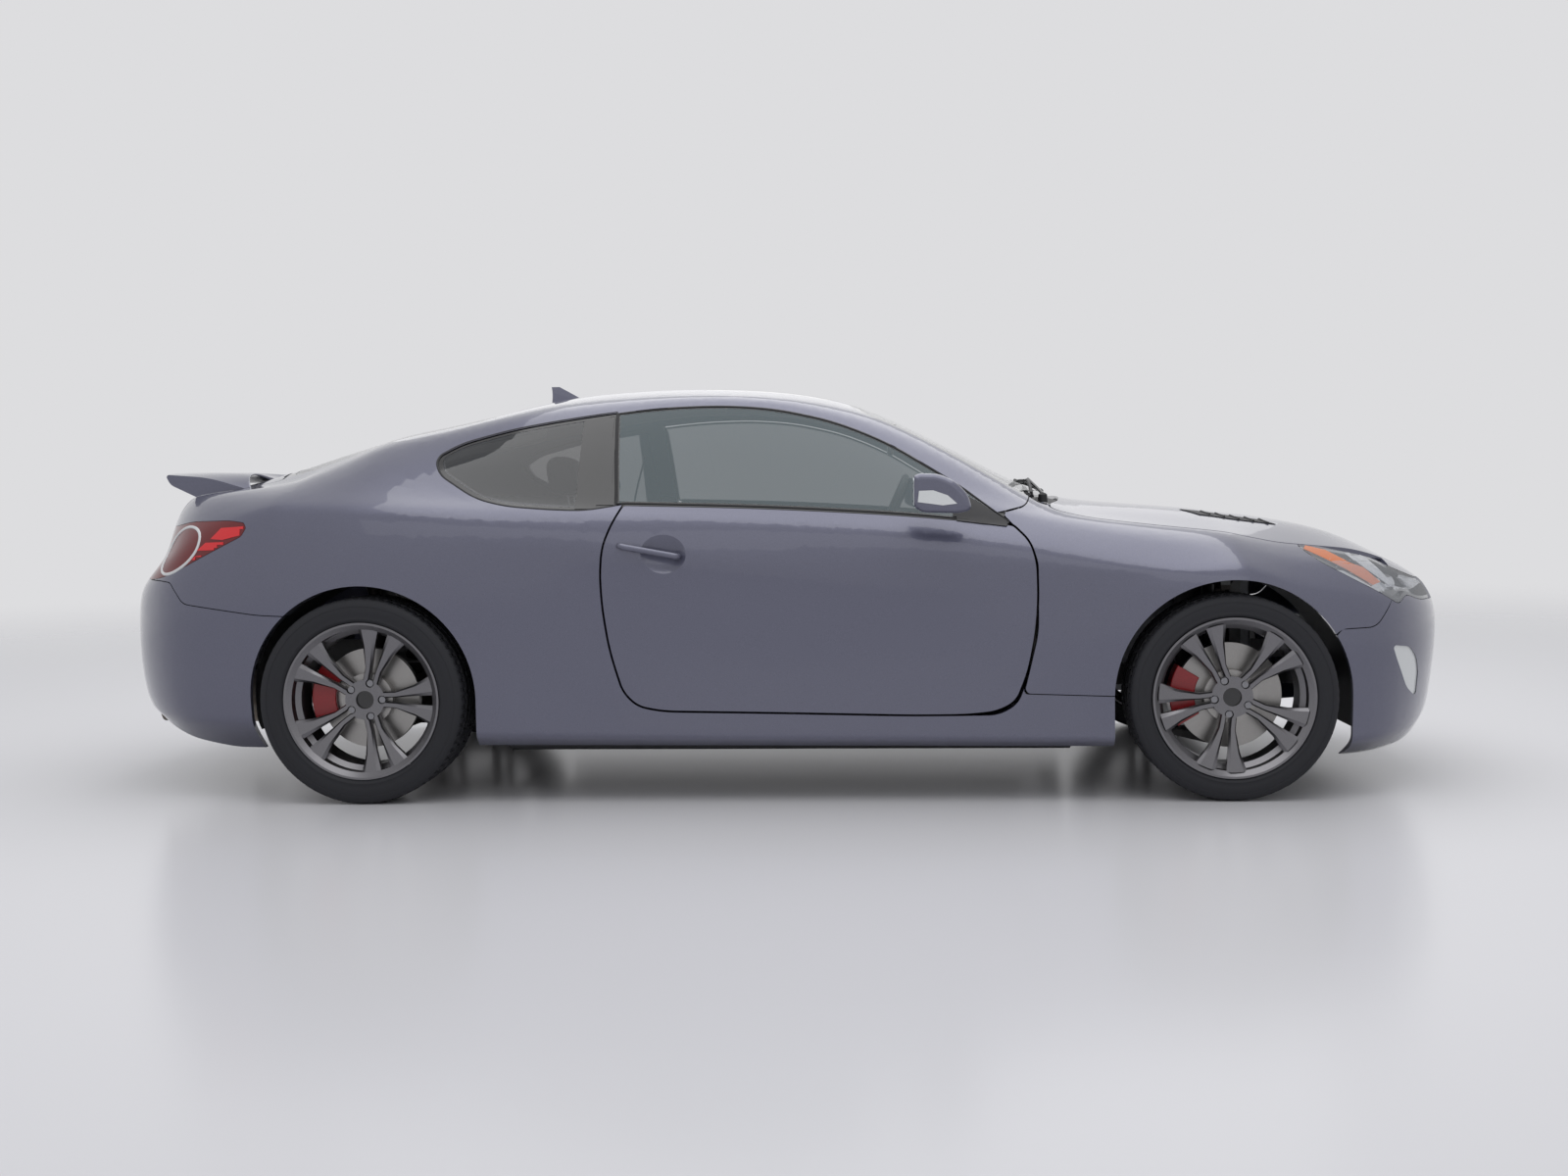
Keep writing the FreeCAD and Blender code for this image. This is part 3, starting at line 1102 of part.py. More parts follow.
def hood():
    panel = skin(plan_region(HOOD_SHARES, -LID_GAP / 2, HOOD_CORNER_SHARE, low=HOOD_LOW), 0.0,
                 PANEL_THICKNESS)
    panel = both_sides(largest(panel))
    return panel


def trunk_lid():
    low = LID_BOTTOM_SHARE * ROOF_HEIGHT + LID_GAP / 2
    panel = skin(plan_region(TRUNK_LID_SHARES, -LID_GAP / 2, TIGHT_CORNER_SHARE, low=low), 0.0,
                 PANEL_THICKNESS)
    panel = panel.cut(plan_region(REAR_GLASS_SHARES, LID_SWING_GAP, low=low))
    return both_sides(largest(panel))


def roof_panel():
    panel = skin(plan_region(ROOF_SHARES, -SEAT_GAP, CORNER_SHARE, low=ROOF_HEIGHT * ROOF_LOW_SHARE), 0.0,
                 PANEL_THICKNESS)
    panel = panel.cut(plan_region(SUNROOF_SHARES, SEAT_GAP, TIGHT_CORNER_SHARE,
                                  low=ROOF_HEIGHT * ROOF_LOW_SHARE))
    return both_sides(largest(panel))


def pane(shares, top_layer=GLASS_RECESS / 2):
    """A bonded glass pane in a plan opening."""
    low = ROOF_HEIGHT * GLASS_LOW_SHARE
    glass = skin(plan_region(shares, -SEAT_GAP, CORNER_SHARE, low=low), top_layer,
                 top_layer + GLASS_THICKNESS)
    return both_sides(largest(glass))


def cowl():
    """The dark panel between hood and windshield."""
    panel = skin(plan_region(COWL_SHARES, -SEAT_GAP, CORNER_SHARE, low=ROOF_HEIGHT * GLASS_LOW_SHARE),
                 COWL_RECESS, PANEL_THICKNESS)
    return both_sides(largest(panel.cut(hood_hinge_slot())))


def revolved(profile):
    """A ring turned about the wheel's axle, from points given as (across, radius)."""
    points = [Vec(0, y, r) for y, r in profile]
    wire = Part.makePolygon(points + [points[0]])
    return Part.Face(wire).revolve(Vec(0, 0, 0), Vec(0, 1, 0), 360)


def spoke(side):
    """One blade, broad at the rim and narrow at the hub, with a bevelled edge each side."""
    sections = []
    for radius, offset, width, face, depth in zip(SPOKE_RADII, SPOKE_OFFSETS, SPOKE_WIDTHS, SPOKE_FACES,
                                                  SPOKE_DEPTHS):
        top = width * SPOKE_TOP_SHARE / 2
        shape = [(-width / 2, depth - face), (-width / 2, SPOKE_BEVEL - face), (-top, -face), (top, -face),
                 (width / 2, SPOKE_BEVEL - face), (width / 2, depth - face)]
        points = [Vec(side * offset + along, y, radius) for along, y in shape]
        sections.append(Part.makePolygon(points + [points[0]]))
    return Part.makeLoft(sections, True, True)


def rim(rim_width, turn_deg):
    """A wheel with five pairs of blades, its hub pad, lug nuts and centre cap."""
    half, flange, wall = rim_width / 2, RIM_FLANGE_RADIUS, RIM_WALL
    bead = flange - RIM_FLANGE_HEIGHT
    well = bead - RIM_FLANGE_HEIGHT
    outside = [(-half, flange), (wall - half, flange), (RIM_BEVEL_WALLS * wall - half, bead),
               (RIM_STEP_WALLS * wall - half, bead),
               (RIM_WELL_WALLS * wall - half, well), (half - RIM_WELL_WALLS * wall, well),
               (half - RIM_STEP_WALLS * wall, bead), (half - RIM_BEVEL_WALLS * wall, bead),
               (half - wall, flange), (half, flange)]
    inside = [(half, flange - wall), (half - 2 * wall, bead - wall),
              (half - RIM_STEP_WALLS * wall, bead - wall),
              (half - RIM_WELL_WALLS * wall, well - wall), (RIM_WELL_WALLS * wall - half, well - wall),
              (RIM_STEP_WALLS * wall - half, bead - wall),
              (2 * wall - half, bead - wall), (-half, flange - wall)]
    barrel = revolved(outside + inside)
    pad = rod(HUB_PAD_RADIUS, Vec(0, -HUB_FACE, 0), Vec(0, -HUB_BACK, 0))
    blades = []
    for k in range(SPOKE_PAIRS):
        for side in (-1, 1):
            blade = spoke(side)
            blade.rotate(Vec(0, 0, 0), Vec(0, 1, 0), 360 * k / SPOKE_PAIRS)
            blades.append(blade)
    wheel = pad.fuse(blades)
    keep = rod(bead - wall / 2, Vec(0, -2 * half, 0), Vec(0, 0, 0))
    wheel = wheel.common(keep).fuse(barrel)
    pockets = [rod(HUB_CAP_RADIUS, Vec(0, -2 * half, 0), Vec(0, HUB_CAP_DEPTH - HUB_FACE, 0))]
    nuts = []
    for k in range(SPOKE_PAIRS):
        angle = 2 * math.pi * k / SPOKE_PAIRS
        x, z = LUG_CIRCLE_RADIUS * math.sin(angle), LUG_CIRCLE_RADIUS * math.cos(angle)
        pockets.append(rod(LUG_POCKET_RADIUS, Vec(x, -2 * half, z), Vec(x, -HUB_BACK - wall, z)))
        nuts.append(rod(LUG_NUT_RADIUS, Vec(x, -HUB_BACK - wall - LUG_NUT_LENGTH, z),
                        Vec(x, -HUB_BACK, z)))
    wheel = wheel.cut(pockets).fuse(nuts)
    wheel.rotate(Vec(0, 0, 0), Vec(0, 1, 0), 90 - turn_deg)
    return wheel


def tyre(radius, width):
    """A tyre with flat tread, bevelled shoulders and level walls."""
    bore, half = RIM_FLANGE_RADIUS + SEAT_GAP, width / 2
    bevel = half - TYRE_SHOULDER_WIDTH
    profile = [(-half, bore), (-half, radius - TYRE_SHOULDER_DROP), (-bevel, radius), (bevel, radius),
               (half, radius - TYRE_SHOULDER_DROP), (half, bore)]
    return revolved(profile).toNurbs()


def brake_disc(radius):
    """A brake disc with its hat, bolted behind the wheel's pad."""
    plane, thick, hat = DISC_PLANE, DISC_THICKNESS, DISC_HAT_RADIUS
    face = SEAT_GAP - HUB_BACK
    profile = [(face, HUB_SHAFT_RADIUS + SEAT_GAP), (face, hat), (plane - thick / 2, hat),
               (plane - thick / 2, radius),
               (plane + thick / 2, radius), (plane + thick / 2, hat - DISC_HAT_WALL),
               (face + DISC_FACE_THICKNESS, hat - DISC_HAT_WALL),
               (face + DISC_FACE_THICKNESS, HUB_SHAFT_RADIUS + SEAT_GAP)]
    return revolved(profile)


def caliper(disc_radius, start_deg):
    """A fixed caliper that straddles the disc's edge, its span centred on an angle seen from outside."""
    inner, outer, half = CALIPER_INNER_RADIUS, CALIPER_OUTER_RADIUS, CALIPER_HALF_DEPTH
    ring = revolved([(DISC_PLANE - half, inner), (DISC_PLANE - half, outer), (DISC_PLANE + half, outer),
                     (DISC_PLANE + half, inner)])
    gap = DISC_THICKNESS / 2 + PAD_CLEARANCE
    slot = revolved([(DISC_PLANE - gap, inner - OVERLAP),
                     (DISC_PLANE - gap, disc_radius + 2 * PAD_CLEARANCE),
                     (DISC_PLANE + gap, disc_radius + 2 * PAD_CLEARANCE),
                     (DISC_PLANE + gap, inner - OVERLAP)])
    body = ring.cut(slot)
    reach = 2 * outer
    low, high = math.radians(-CALIPER_SPAN_DEG / 2), math.radians(CALIPER_SPAN_DEG / 2)
    wedge = Part.makePolygon([Vec(0, -reach, 0), Vec(reach * math.cos(low), -reach, reach * math.sin(low)),
                              Vec(reach * math.cos(high), -reach, reach * math.sin(high)),
                              Vec(0, -reach, 0)])
    body = body.common(Part.Face(wedge).extrude(Vec(0, 2 * reach, 0)))
    body.rotate(Vec(0, 0, 0), Vec(0, 1, 0), -start_deg)
    return body


def at_wheel(shape, front):
    """A wheel-centred shape of the right side, moved to its axle."""
    if front:
        return moved(shape, FRONT_AXLE_X, -FRONT_TRACK / 2, FRONT_TYRE_RADIUS)
    return moved(shape, REAR_AXLE_X, -REAR_TRACK / 2, REAR_TYRE_RADIUS)


def knuckle():
    """The steered upright: hub shaft, bearing housing and arms to the upper and lower ball joints."""
    shaft = rod(HUB_SHAFT_RADIUS, Vec(0, -HUB_BACK + SEAT_GAP, 0), Vec(0, HUB_SHAFT_INNER_Y, 0))
    inner_face = DISC_PLANE + DISC_THICKNESS
    bearing = rod(BEARING_RADIUS, Vec(0, inner_face, 0), Vec(0, inner_face + BEARING_LENGTH, 0))
    back = DISC_PLANE + CALIPER_HALF_DEPTH + SEAT_GAP
    half, neck = KNUCKLE_ARM / 2, FRONT_TYRE_WIDTH / 2 + KNUCKLE_ARM / 2
    lower = block(-half, half, back, back + KNUCKLE_ARM, -KNUCKLE_HEIGHT, 0)
    inward = block(-half, half, back, neck + KNUCKLE_ARM, -half, half)
    upward = block(-half, half, neck, neck + KNUCKLE_ARM, -half, KNUCKLE_TOP)
    over = block(-half, half, KINGPIN_INSET - half, neck + KNUCKLE_ARM, KNUCKLE_TOP - half, KNUCKLE_TOP)
    bracket = block(-CALIPER_INNER_RADIUS - 2 * half, 0, back, back + half, -2 * half, 2 * half)
    return shaft.fuse([bearing, lower, inward, upward, over, bracket])


def knuckle_caliper():
    """The front caliper, on the rearward side of the disc."""
    return caliper(FRONT_DISC_RADIUS, FRONT_CALIPER_DEG)


def cushion(shares, middle_y, width, edge):
    """A padded block with rounded edges, from its side outline."""
    near = middle_y - width / 2
    wire = rounded_path([Vec(x, near, z) for x, z in side_points(shares)], CORNER_SHARE)
    solid = Part.Face(wire).extrude(Vec(0, width, 0))
    rims = [e for e in solid.Edges if abs(e.BoundBox.YMax - e.BoundBox.YMin) < TINY]
    return solid.makeFillet(edge, rims)


def front_seat(side):
    """A bucket seat: squab, backrest and headrest on its posts, joined as one."""
    base = cushion(SEAT_BASE_SHARES, side * SEAT_Y, SEAT_WIDTH, SEAT_EDGE * SEAT_FILLET_SHARE)
    back = cushion(SEAT_BACK_SHARES, side * SEAT_Y, BACK_WIDTH, SEAT_EDGE * SEAT_FILLET_SHARE)
    head = cushion(HEADREST_SHARES, side * SEAT_Y, HEADREST_WIDTH, SEAT_EDGE * HEADREST_FILLET_SHARE)
    low, high = side_points([SEAT_BACK_SHARES[2], HEADREST_SHARES[2]])
    x = station_x(HEADREST_POST_SHARE)
    posts = []
    for y in (side * SEAT_Y - HEADREST_POST_Y, side * SEAT_Y + HEADREST_POST_Y):
        start, end = Vec(x, y, low[1] - HEADREST_POST_REACH), Vec(x, y, low[1] + HEADREST_POST_REACH)
        posts.append(rod(HEADREST_POST_RADIUS, start, end))
    return base.fuse([back, head] + posts)


def front_seats():
    return Part.makeCompound([front_seat(-1), front_seat(1)])


def rear_seat():
    """The rear bench: two seating hollows share one base and one back."""
    base = cushion(REAR_BASE_SHARES, 0, REAR_SEAT_WIDTH, SEAT_EDGE * REAR_BASE_FILLET_SHARE)
    return base.fuse(cushion(REAR_BACK_SHARES, 0, REAR_SEAT_WIDTH, SEAT_EDGE * REAR_BACK_FILLET_SHARE))


def dashboard():
    """The instrument panel with the centre console, hollowed for the steering column."""
    wire = rounded_path([Vec(x, -DASH_HALF_WIDTH, z) for x, z in side_points(DASH_SHARES)],
                        HOOD_CORNER_SHARE)
    dash = Part.Face(wire).extrude(Vec(0, 2 * DASH_HALF_WIDTH, 0))
    wire = rounded_path([Vec(x, -CONSOLE_HALF_WIDTH, z) for x, z in side_points(CONSOLE_SHARES)],
                        TIGHT_CORNER_SHARE)
    console = Part.Face(wire).extrude(Vec(0, 2 * CONSOLE_HALF_WIDTH, 0))
    clear = form(PANEL_THICKNESS + 2 * SEAT_GAP).fuse(mirrored(form(PANEL_THICKNESS + 2 * SEAT_GAP)))
    centre, axis = column()
    bore = rod(COLUMN_RADIUS + SEAT_GAP, centre - axis * COLUMN_REACH, centre + axis * COLUMN_REACH)
    sides = block(POST_X - 2 * SHUT_GAP, FIREWALL_X, -HALF_WIDTH, -DASH_END_Y, 0, ROOF_HEIGHT)
    return dash.fuse(console).common(clear).cut([bore, sides, mirrored(sides)])


def column():
    """The steering wheel's centre and the direction of its column, towards the driver."""
    tilt = math.radians(COLUMN_TILT_DEG)
    x = station_x(COLUMN_SHARES[0])
    z = COLUMN_SHARES[1] * ROOF_HEIGHT
    return Vec(x, STEERING_SIDE * SEAT_Y, z), Vec(-math.cos(tilt), 0, math.sin(tilt))


def steering_wheel():
    """A three-spoke wheel on the end of its column."""
    centre, axis = column()
    ring = Part.makeTorus(WHEEL_RIM_RADIUS, WHEEL_GRIP_RADIUS)
    hub = Part.makeCylinder(WHEEL_HUB_RADIUS, WHEEL_HUB_DEPTH, Vec(0, 0, -WHEEL_HUB_LOW))
    inside = Part.makeCylinder(WHEEL_RIM_RADIUS, SPOKE_TRIM_LENGTH, Vec(0, 0, -SPOKE_TRIM_LOW))
    across = block(-WHEEL_RIM_RADIUS, WHEEL_RIM_RADIUS, -SPOKE_HALF, SPOKE_HALF, -SPOKE_LOW, -SPOKE_HIGH)
    arms = [across.common(inside),
            block(-LOWER_SPOKE_HALF, LOWER_SPOKE_HALF, -WHEEL_RIM_RADIUS, 0, -SPOKE_LOW, -SPOKE_HIGH)]
    shaft = Part.makeCylinder(COLUMN_RADIUS, COLUMN_LENGTH, Vec(0, 0, -COLUMN_LENGTH - COLUMN_DROP))
    wheel = ring.fuse([hub, shaft] + arms)
    wheel.rotate(Vec(0, 0, 0), Vec(0, 0, 1), 90)
    wheel.rotate(Vec(0, 0, 0), Vec(0, 1, 0), -(90 - COLUMN_TILT_DEG))
    wheel.translate(centre)
    return wheel


def surface_z(x, y):
    """Height of the body's top surface at a place in plan."""
    line = Part.makeLine(Vec(x, -y, ROOF_HEIGHT * TOP_SEARCH_SHARE), Vec(x, -y, ROOF_HEIGHT + OVERRUN))
    return max(v.Point.z for v in line.common(form(0.0)).Vertexes)


def hood_hinge():
    """The hood's hinge line at its right rear corner."""
    return Vec(HOOD_HINGE_X, -HOOD_HINGE_Y, surface_z(HOOD_HINGE_X, HOOD_HINGE_Y) - HOOD_HINGE_DROP)


def hood_ear():
    """A hinge ear at the hood's rear corner, with its eye on the pin."""
    pin, half, eye_radius = hood_hinge(), HINGE_LEAF / 2, HINGE_BARREL_RADIUS
    low = pin.z - 2 * eye_radius
    eye = rod(eye_radius, pin - Vec(0, half, 0), pin + Vec(0, half, 0))
    plate = block(pin.x + 2 * eye_radius, pin.x + HOOD_EAR_LENGTH, pin.y - half, pin.y + half, low,
                  pin.z + eye_radius)
    link = block(pin.x, pin.x + HOOD_EAR_LENGTH / 2, pin.y - half, pin.y + half, pin.z - eye_radius,
                 pin.z + half)
    ear = eye.fuse([plate, link]).common(form(GLASS_RECESS / 2))
    bore = rod(HINGE_PIN_RADIUS + RUNNING_GAP, pin - Vec(0, HALF_WIDTH, 0), pin + Vec(0, HALF_WIDTH, 0))
    return ear.cut(bore)


def lid_hinge():
    """The trunk lid's hinge line on its right side."""
    return Vec(LID_HINGE_X, -LID_HINGE_Y, LID_HINGE_Z)


def lid_arm():
    """The swan-neck arm that carries the trunk lid round the edge of its opening."""
    pin = lid_hinge()
    route = [pin] + [pin + Vec(along * LID_ARM_REACH, 0, up * LID_ARM_REACH) for along,
                     up in LID_ARM_ROUTE]
    last = route[-1]
    route.append(Vec(last.x, last.y, surface_z(last.x, LID_HINGE_Y) - PANEL_THICKNESS / 2))
    eye = rod(HINGE_BARREL_RADIUS, pin - Vec(0, HINGE_LEAF, 0), pin + Vec(0, HINGE_LEAF, 0))
    bore = rod(HINGE_PIN_RADIUS + RUNNING_GAP, pin - Vec(0, HALF_WIDTH, 0), pin + Vec(0, HALF_WIDTH, 0))
    return bent_bar(route, LID_ARM_RADIUS, LID_ARM_BEND_SHARE).fuse(eye).cut(bore)


def structure():
    """Floor, tunnel, firewall, posts, shelf, rails and beams that carry every panel."""
    rear, front = station_x(STRUCTURE_REAR_SHARE), station_x(RADIATOR_SHARE)
    fire, half = FIREWALL_X, HALF_WIDTH
    low, up = FLOOR_Z, FLOOR_Z + SHEET
    back_x, trunk_half = station_x(CABIN_REAR_SHARE), half * TRUNK_FLOOR_SHARE
    pieces = [
        block(back_x, fire, -half, OVERRUN, low, up),
        block(back_x, fire, -TUNNEL_HALF_WIDTH, OVERRUN, low, TUNNEL_TOP_Z),
        block(fire, fire + SHEET, -half, OVERRUN, low, FIREWALL_TOP_SHARE * ROOF_HEIGHT),
        block(fire, fire + SHEET, -COWL_SUPPORT_HALF_WIDTH, OVERRUN, FIREWALL_TOP_SHARE * ROOF_HEIGHT,
              ROOF_HEIGHT),
        block(rear, back_x, -trunk_half, OVERRUN, TRUNK_FLOOR_Z, TRUNK_FLOOR_Z + SHEET),
        block(back_x, back_x + SHEET, -half * BULKHEAD_SHARE, OVERRUN, low, TRUNK_FLOOR_Z + SHEET),
        block(rear - SHEET, rear, -half * TAIL_WALL_SHARE, OVERRUN, TIP_Z + TIP_ROOM_SHARE * TIP_RADIUS,
              TAIL_WALL_TOP_SHARE * ROOF_HEIGHT),
        block(fire, front, -RAIL_Y - RAIL_SIZE, -RAIL_Y, RAIL_Z, RAIL_Z + RAIL_SIZE),
        block(front - SHEET, front, -half * BULKHEAD_SHARE, OVERRUN, RAIL_Z,
              SLAM_PANEL_SHARE * ROOF_HEIGHT),
        block(front, station_x(2), -half * FRONT_BEAM_WIDTH_SHARE, OVERRUN,
              FRONT_BEAM_SHARES[0] * ROOF_HEIGHT,
              FRONT_BEAM_SHARES[1] * ROOF_HEIGHT).common(form(PANEL_THICKNESS * GRILLE_INSET_SHARE
                                                              + GRILLE_DEPTH + SEAT_GAP)),
        block(station_x(-1), rear - SHEET, -half * REAR_BEAM_WIDTH_SHARE, OVERRUN,
              REAR_BEAM_SHARES[0] * ROOF_HEIGHT,
              REAR_BEAM_SHARES[1] * ROOF_HEIGHT),
        block(POST_X, fire + SHEET, -POST_Y, POST_DEPTH - POST_Y, low, FIREWALL_TOP_SHARE * ROOF_HEIGHT),
        block(fire, station_x(FENDER_RAIL_END_SHARE), -half * FENDER_RAIL_OUT_SHARE,
              -half * FENDER_RAIL_IN_SHARE, FENDER_RAIL_SHARES[0] * ROOF_HEIGHT,
              FENDER_RAIL_SHARES[1] * ROOF_HEIGHT),
        block(station_x(SHELF_REAR_SHARE), station_x(SHELF_FRONT_SHARE), -half, OVERRUN, SHELF_Z,
              SHELF_Z + SHEET),
        block(station_x(CROSSBAR_REAR_SHARE), station_x(CROSSBAR_FRONT_SHARE), -half, OVERRUN,
              TRUNK_FLOOR_Z, TRUNK_FLOOR_Z + CROSSBAR_SHEETS * SHEET),
    ]
    base = pieces[0].fuse(pieces[1:])
    base = base.cut(block(back_x - OVERRUN, fire + OVERRUN, SHEET - TUNNEL_HALF_WIDTH, OVERRUN, 0,
                          TUNNEL_TOP_Z - SHEET))
    base = base.common(cabin_space()).cut(arches(LINER_GAP + LINER_SHEET + SEAT_GAP))
    base = base.cut(plan_region(HOOD_SHARES, LID_GAP, HOOD_CORNER_SHARE,
                                low=FIREWALL_TOP_SHARE * ROOF_HEIGHT))
    for height in HINGE_HEIGHTS:
        base = base.fuse(door_hinge_fixed(height))
    return both_sides(largest(base.fuse([hood_hinge_fixed(), lid_hinge_fixed()])))


def roof_frame():
    """The ledges under the bonded glass and the frame under the roof panel, in one."""
    low = GLASS_LOW_SHARE * ROOF_HEIGHT
    panes = [WINDSHIELD_SHARES, REAR_GLASS_SHARES]
    clear = [plan_region(shares, -FLANGE_WIDTH * LEDGE_SHARE, CORNER_SHARE, low=low) for shares in panes]
    around = [plan_region(shares, FLANGE_WIDTH, CORNER_SHARE, low=low) for shares in panes]
    whole = plan_region(ROOF_SHARES, FLANGE_WIDTH, CORNER_SHARE, low=low).fuse(around)
    window = side_region(WINDOW_SHARES, FLANGE_WIDTH + SHUT_GAP, TIGHT_CORNER_SHARE,
                         far=-ROOF_FRAME_INNER_SHARE * HALF_WIDTH)
    beyond = block(FIREWALL_X - SEAT_GAP, station_x(ROOF_FRAME_END_SHARE), -HALF_WIDTH, OVERRUN, 0,
                   ROOF_HEIGHT)
    whole = whole.cut(clear + [plan_region(SUNROOF_SHARES, -FLANGE_WIDTH, TIGHT_CORNER_SHARE, low=low),
                               window, beyond])
    frame = cabin_space().common(whole).cut(form(PANEL_THICKNESS * ROOF_FRAME_DEPTH_SHARE))
    for shares, inner in zip(panes, clear):
        ring = plan_region(shares, -SEAT_GAP, CORNER_SHARE, low=low).cut(inner)
        frame = frame.fuse(skin(ring, GLASS_RECESS / 2 + GLASS_THICKNESS + SEAT_GAP,
                                PANEL_THICKNESS + SEAT_GAP))
    return both_sides(frame)


def sunroof_glass():
    pane = skin(plan_region(SUNROOF_SHARES, -SEAT_GAP, TIGHT_CORNER_SHARE,
                            low=ROOF_LOW_SHARE * ROOF_HEIGHT), 0.0, PANEL_THICKNESS)
    return both_sides(pane)


def door_hinge_fixed(height):
    """A door hinge's pin with its two arms to the post."""
    low, high = height - HINGE_BARREL_LENGTH / 2, height + HINGE_BARREL_LENGTH / 2
    pin = rod(DOOR_PIN_RADIUS, Vec(DOOR_HINGE_X, -DOOR_HINGE_Y, low - OVERLAP),
              Vec(DOOR_HINGE_X, -DOOR_HINGE_Y, high + OVERLAP))
    arms = [hinge_arm(-HINGE_ROOT_Y, high + SEAT_GAP),
            hinge_arm(-HINGE_ROOT_Y, low - SEAT_GAP - HINGE_LEAF)]
    return pin.fuse(arms)


def hinge_arm(inner_y, z):
    """A swan-neck arm from the door post to the hinge pin."""
    half, thick = DOOR_BARREL_RADIUS, HINGE_LEAF
    along = block(DOOR_HINGE_X - half, DOOR_HINGE_X + half, -DOOR_HINGE_Y, inner_y, z, z + thick)
    reach = block(DOOR_HINGE_X - half, POST_X + half, inner_y - 2 * half, inner_y, z, z + thick)
    eye = rod(half, Vec(DOOR_HINGE_X, -DOOR_HINGE_Y, z), Vec(DOOR_HINGE_X, -DOOR_HINGE_Y, z + thick))
    return along.fuse([reach, eye])


def hood_hinge_fixed():
    """The bracket and pin that carry a hood ear."""
    pin_at, half, eye_radius = hood_hinge(), HINGE_LEAF / 2, HINGE_BARREL_RADIUS
    side = pin_at.y - half - SEAT_GAP
    start = Vec(pin_at.x, side - OVERLAP, pin_at.z)
    pin = rod(HINGE_PIN_RADIUS, start, Vec(pin_at.x, pin_at.y + half, pin_at.z))
    low = HOOD_STAND_SHARE * ROOF_HEIGHT
    stand = block(pin_at.x - eye_radius, FIREWALL_X + SHEET, side - HINGE_LEAF, side, low,
                  pin_at.z - HOOD_STAND_DROP)
    cheek = block(pin_at.x - eye_radius, pin_at.x + eye_radius, side - HINGE_LEAF, side, low,
                  pin_at.z + half)
    return pin.fuse([stand, cheek])


def hood_hinge_slot():
    """Room for a hood hinge in the panel under the windshield."""
    pin_at, room = hood_hinge(), 2 * HINGE_BARREL_RADIUS
    return block(pin_at.x - room, pin_at.x + HINGE_SLOT_SHARE * room, pin_at.y - room, pin_at.y + room, 0,
                 ROOF_HEIGHT)


def lid_hinge_fixed():
    """The bracket and pin that carry a trunk lid arm, standing on the shelf."""
    pin_at = lid_hinge()
    side = pin_at.y + HINGE_LEAF + SEAT_GAP
    pin = rod(HINGE_PIN_RADIUS, Vec(pin_at.x, pin_at.y - HINGE_LEAF, pin_at.z),
              Vec(pin_at.x, side + OVERLAP, pin_at.z))
    stand = block(pin_at.x - HINGE_BARREL_RADIUS, pin_at.x + LID_STAND_LENGTH, side, side + HINGE_LEAF,
                  SHELF_Z, pin_at.z + HINGE_BARREL_RADIUS)
    return pin.fuse(stand)


def wheel_liners():
    """The four arched liners behind the wheel openings."""
    rings = []
    outside = arches(LINER_GAP + LINER_SHEET)
    below = block(station_x(-1), station_x(2), -HALF_WIDTH - OVERRUN, 0, 0, LINER_BOTTOM_Z)
    ring = outside.cut(arches(LINER_GAP)).cut(below)
    front_zone = block(FIREWALL_X + SHEET + OVERLAP, station_x(LINER_FRONT_SHARE), -HALF_WIDTH - OVERRUN,
                       -HALF_WIDTH * LINER_FRONT_INNER_SHARE, 0, ROOF_HEIGHT)
    rear_start, rear_end = (station_x(share) for share in LINER_REAR_SHARES)
    rear_zone = block(rear_start, rear_end, -HALF_WIDTH - OVERRUN, -HALF_WIDTH * LINER_REAR_INNER_SHARE, 0,
                      ROOF_HEIGHT)
    sill_end = block(FIREWALL_X, FRONT_AXLE_X, -HALF_WIDTH, -HALF_WIDTH + SILL_END_WALLS * WALL_THICKNESS,
                     0,
                     SILL_END_SHARE * ROOF_HEIGHT)
    rings.append(largest(ring.common(front_zone).common(form(PANEL_THICKNESS + SEAT_GAP)).cut(sill_end)))
    rings.append(largest(ring.common(rear_zone).common(cabin_space())))
    return Part.makeCompound([r for ring in rings for r in pair(ring).Solids])


def mirror_housing():
    """The door mirror: a rounded shell on a short arm from the door's top corner."""
    wire = rounded_path([Vec(x, -MIRROR_OUT, z) for x, z in side_points(MIRROR_SHARES)], CORNER_SHARE)
    shell = Part.Face(wire).extrude(Vec(0, MIRROR_OUT - MIRROR_IN, 0))
    outer = [e for e in shell.Edges if e.BoundBox.YMax < -MIRROR_OUT + OVERLAP]
    shell = shell.makeFillet(MIRROR_EDGE, outer)
    foot_x, foot_z = station_x(MIRROR_FOOT_SHARES[0]), MIRROR_FOOT_SHARES[1] * ROOF_HEIGHT
    arm = block(foot_x - MIRROR_FOOT_BACK, foot_x + MIRROR_FOOT_FRONT, -MIRROR_IN - MIRROR_FOOT_OVERLAP,
                -MIRROR_FOOT_INNER_SHARE * HALF_WIDTH, foot_z - MIRROR_FOOT_DROP,
                foot_z + MIRROR_FOOT_RISE)
    back, face = (station_x(share) for share in MIRROR_GLASS_SHARES)
    glass = block(back, face, -MIRROR_OUT, -MIRROR_IN, 0, ROOF_HEIGHT)
    return largest(shell.cut(glass).fuse(arm).cut(form(-SEAT_GAP)))


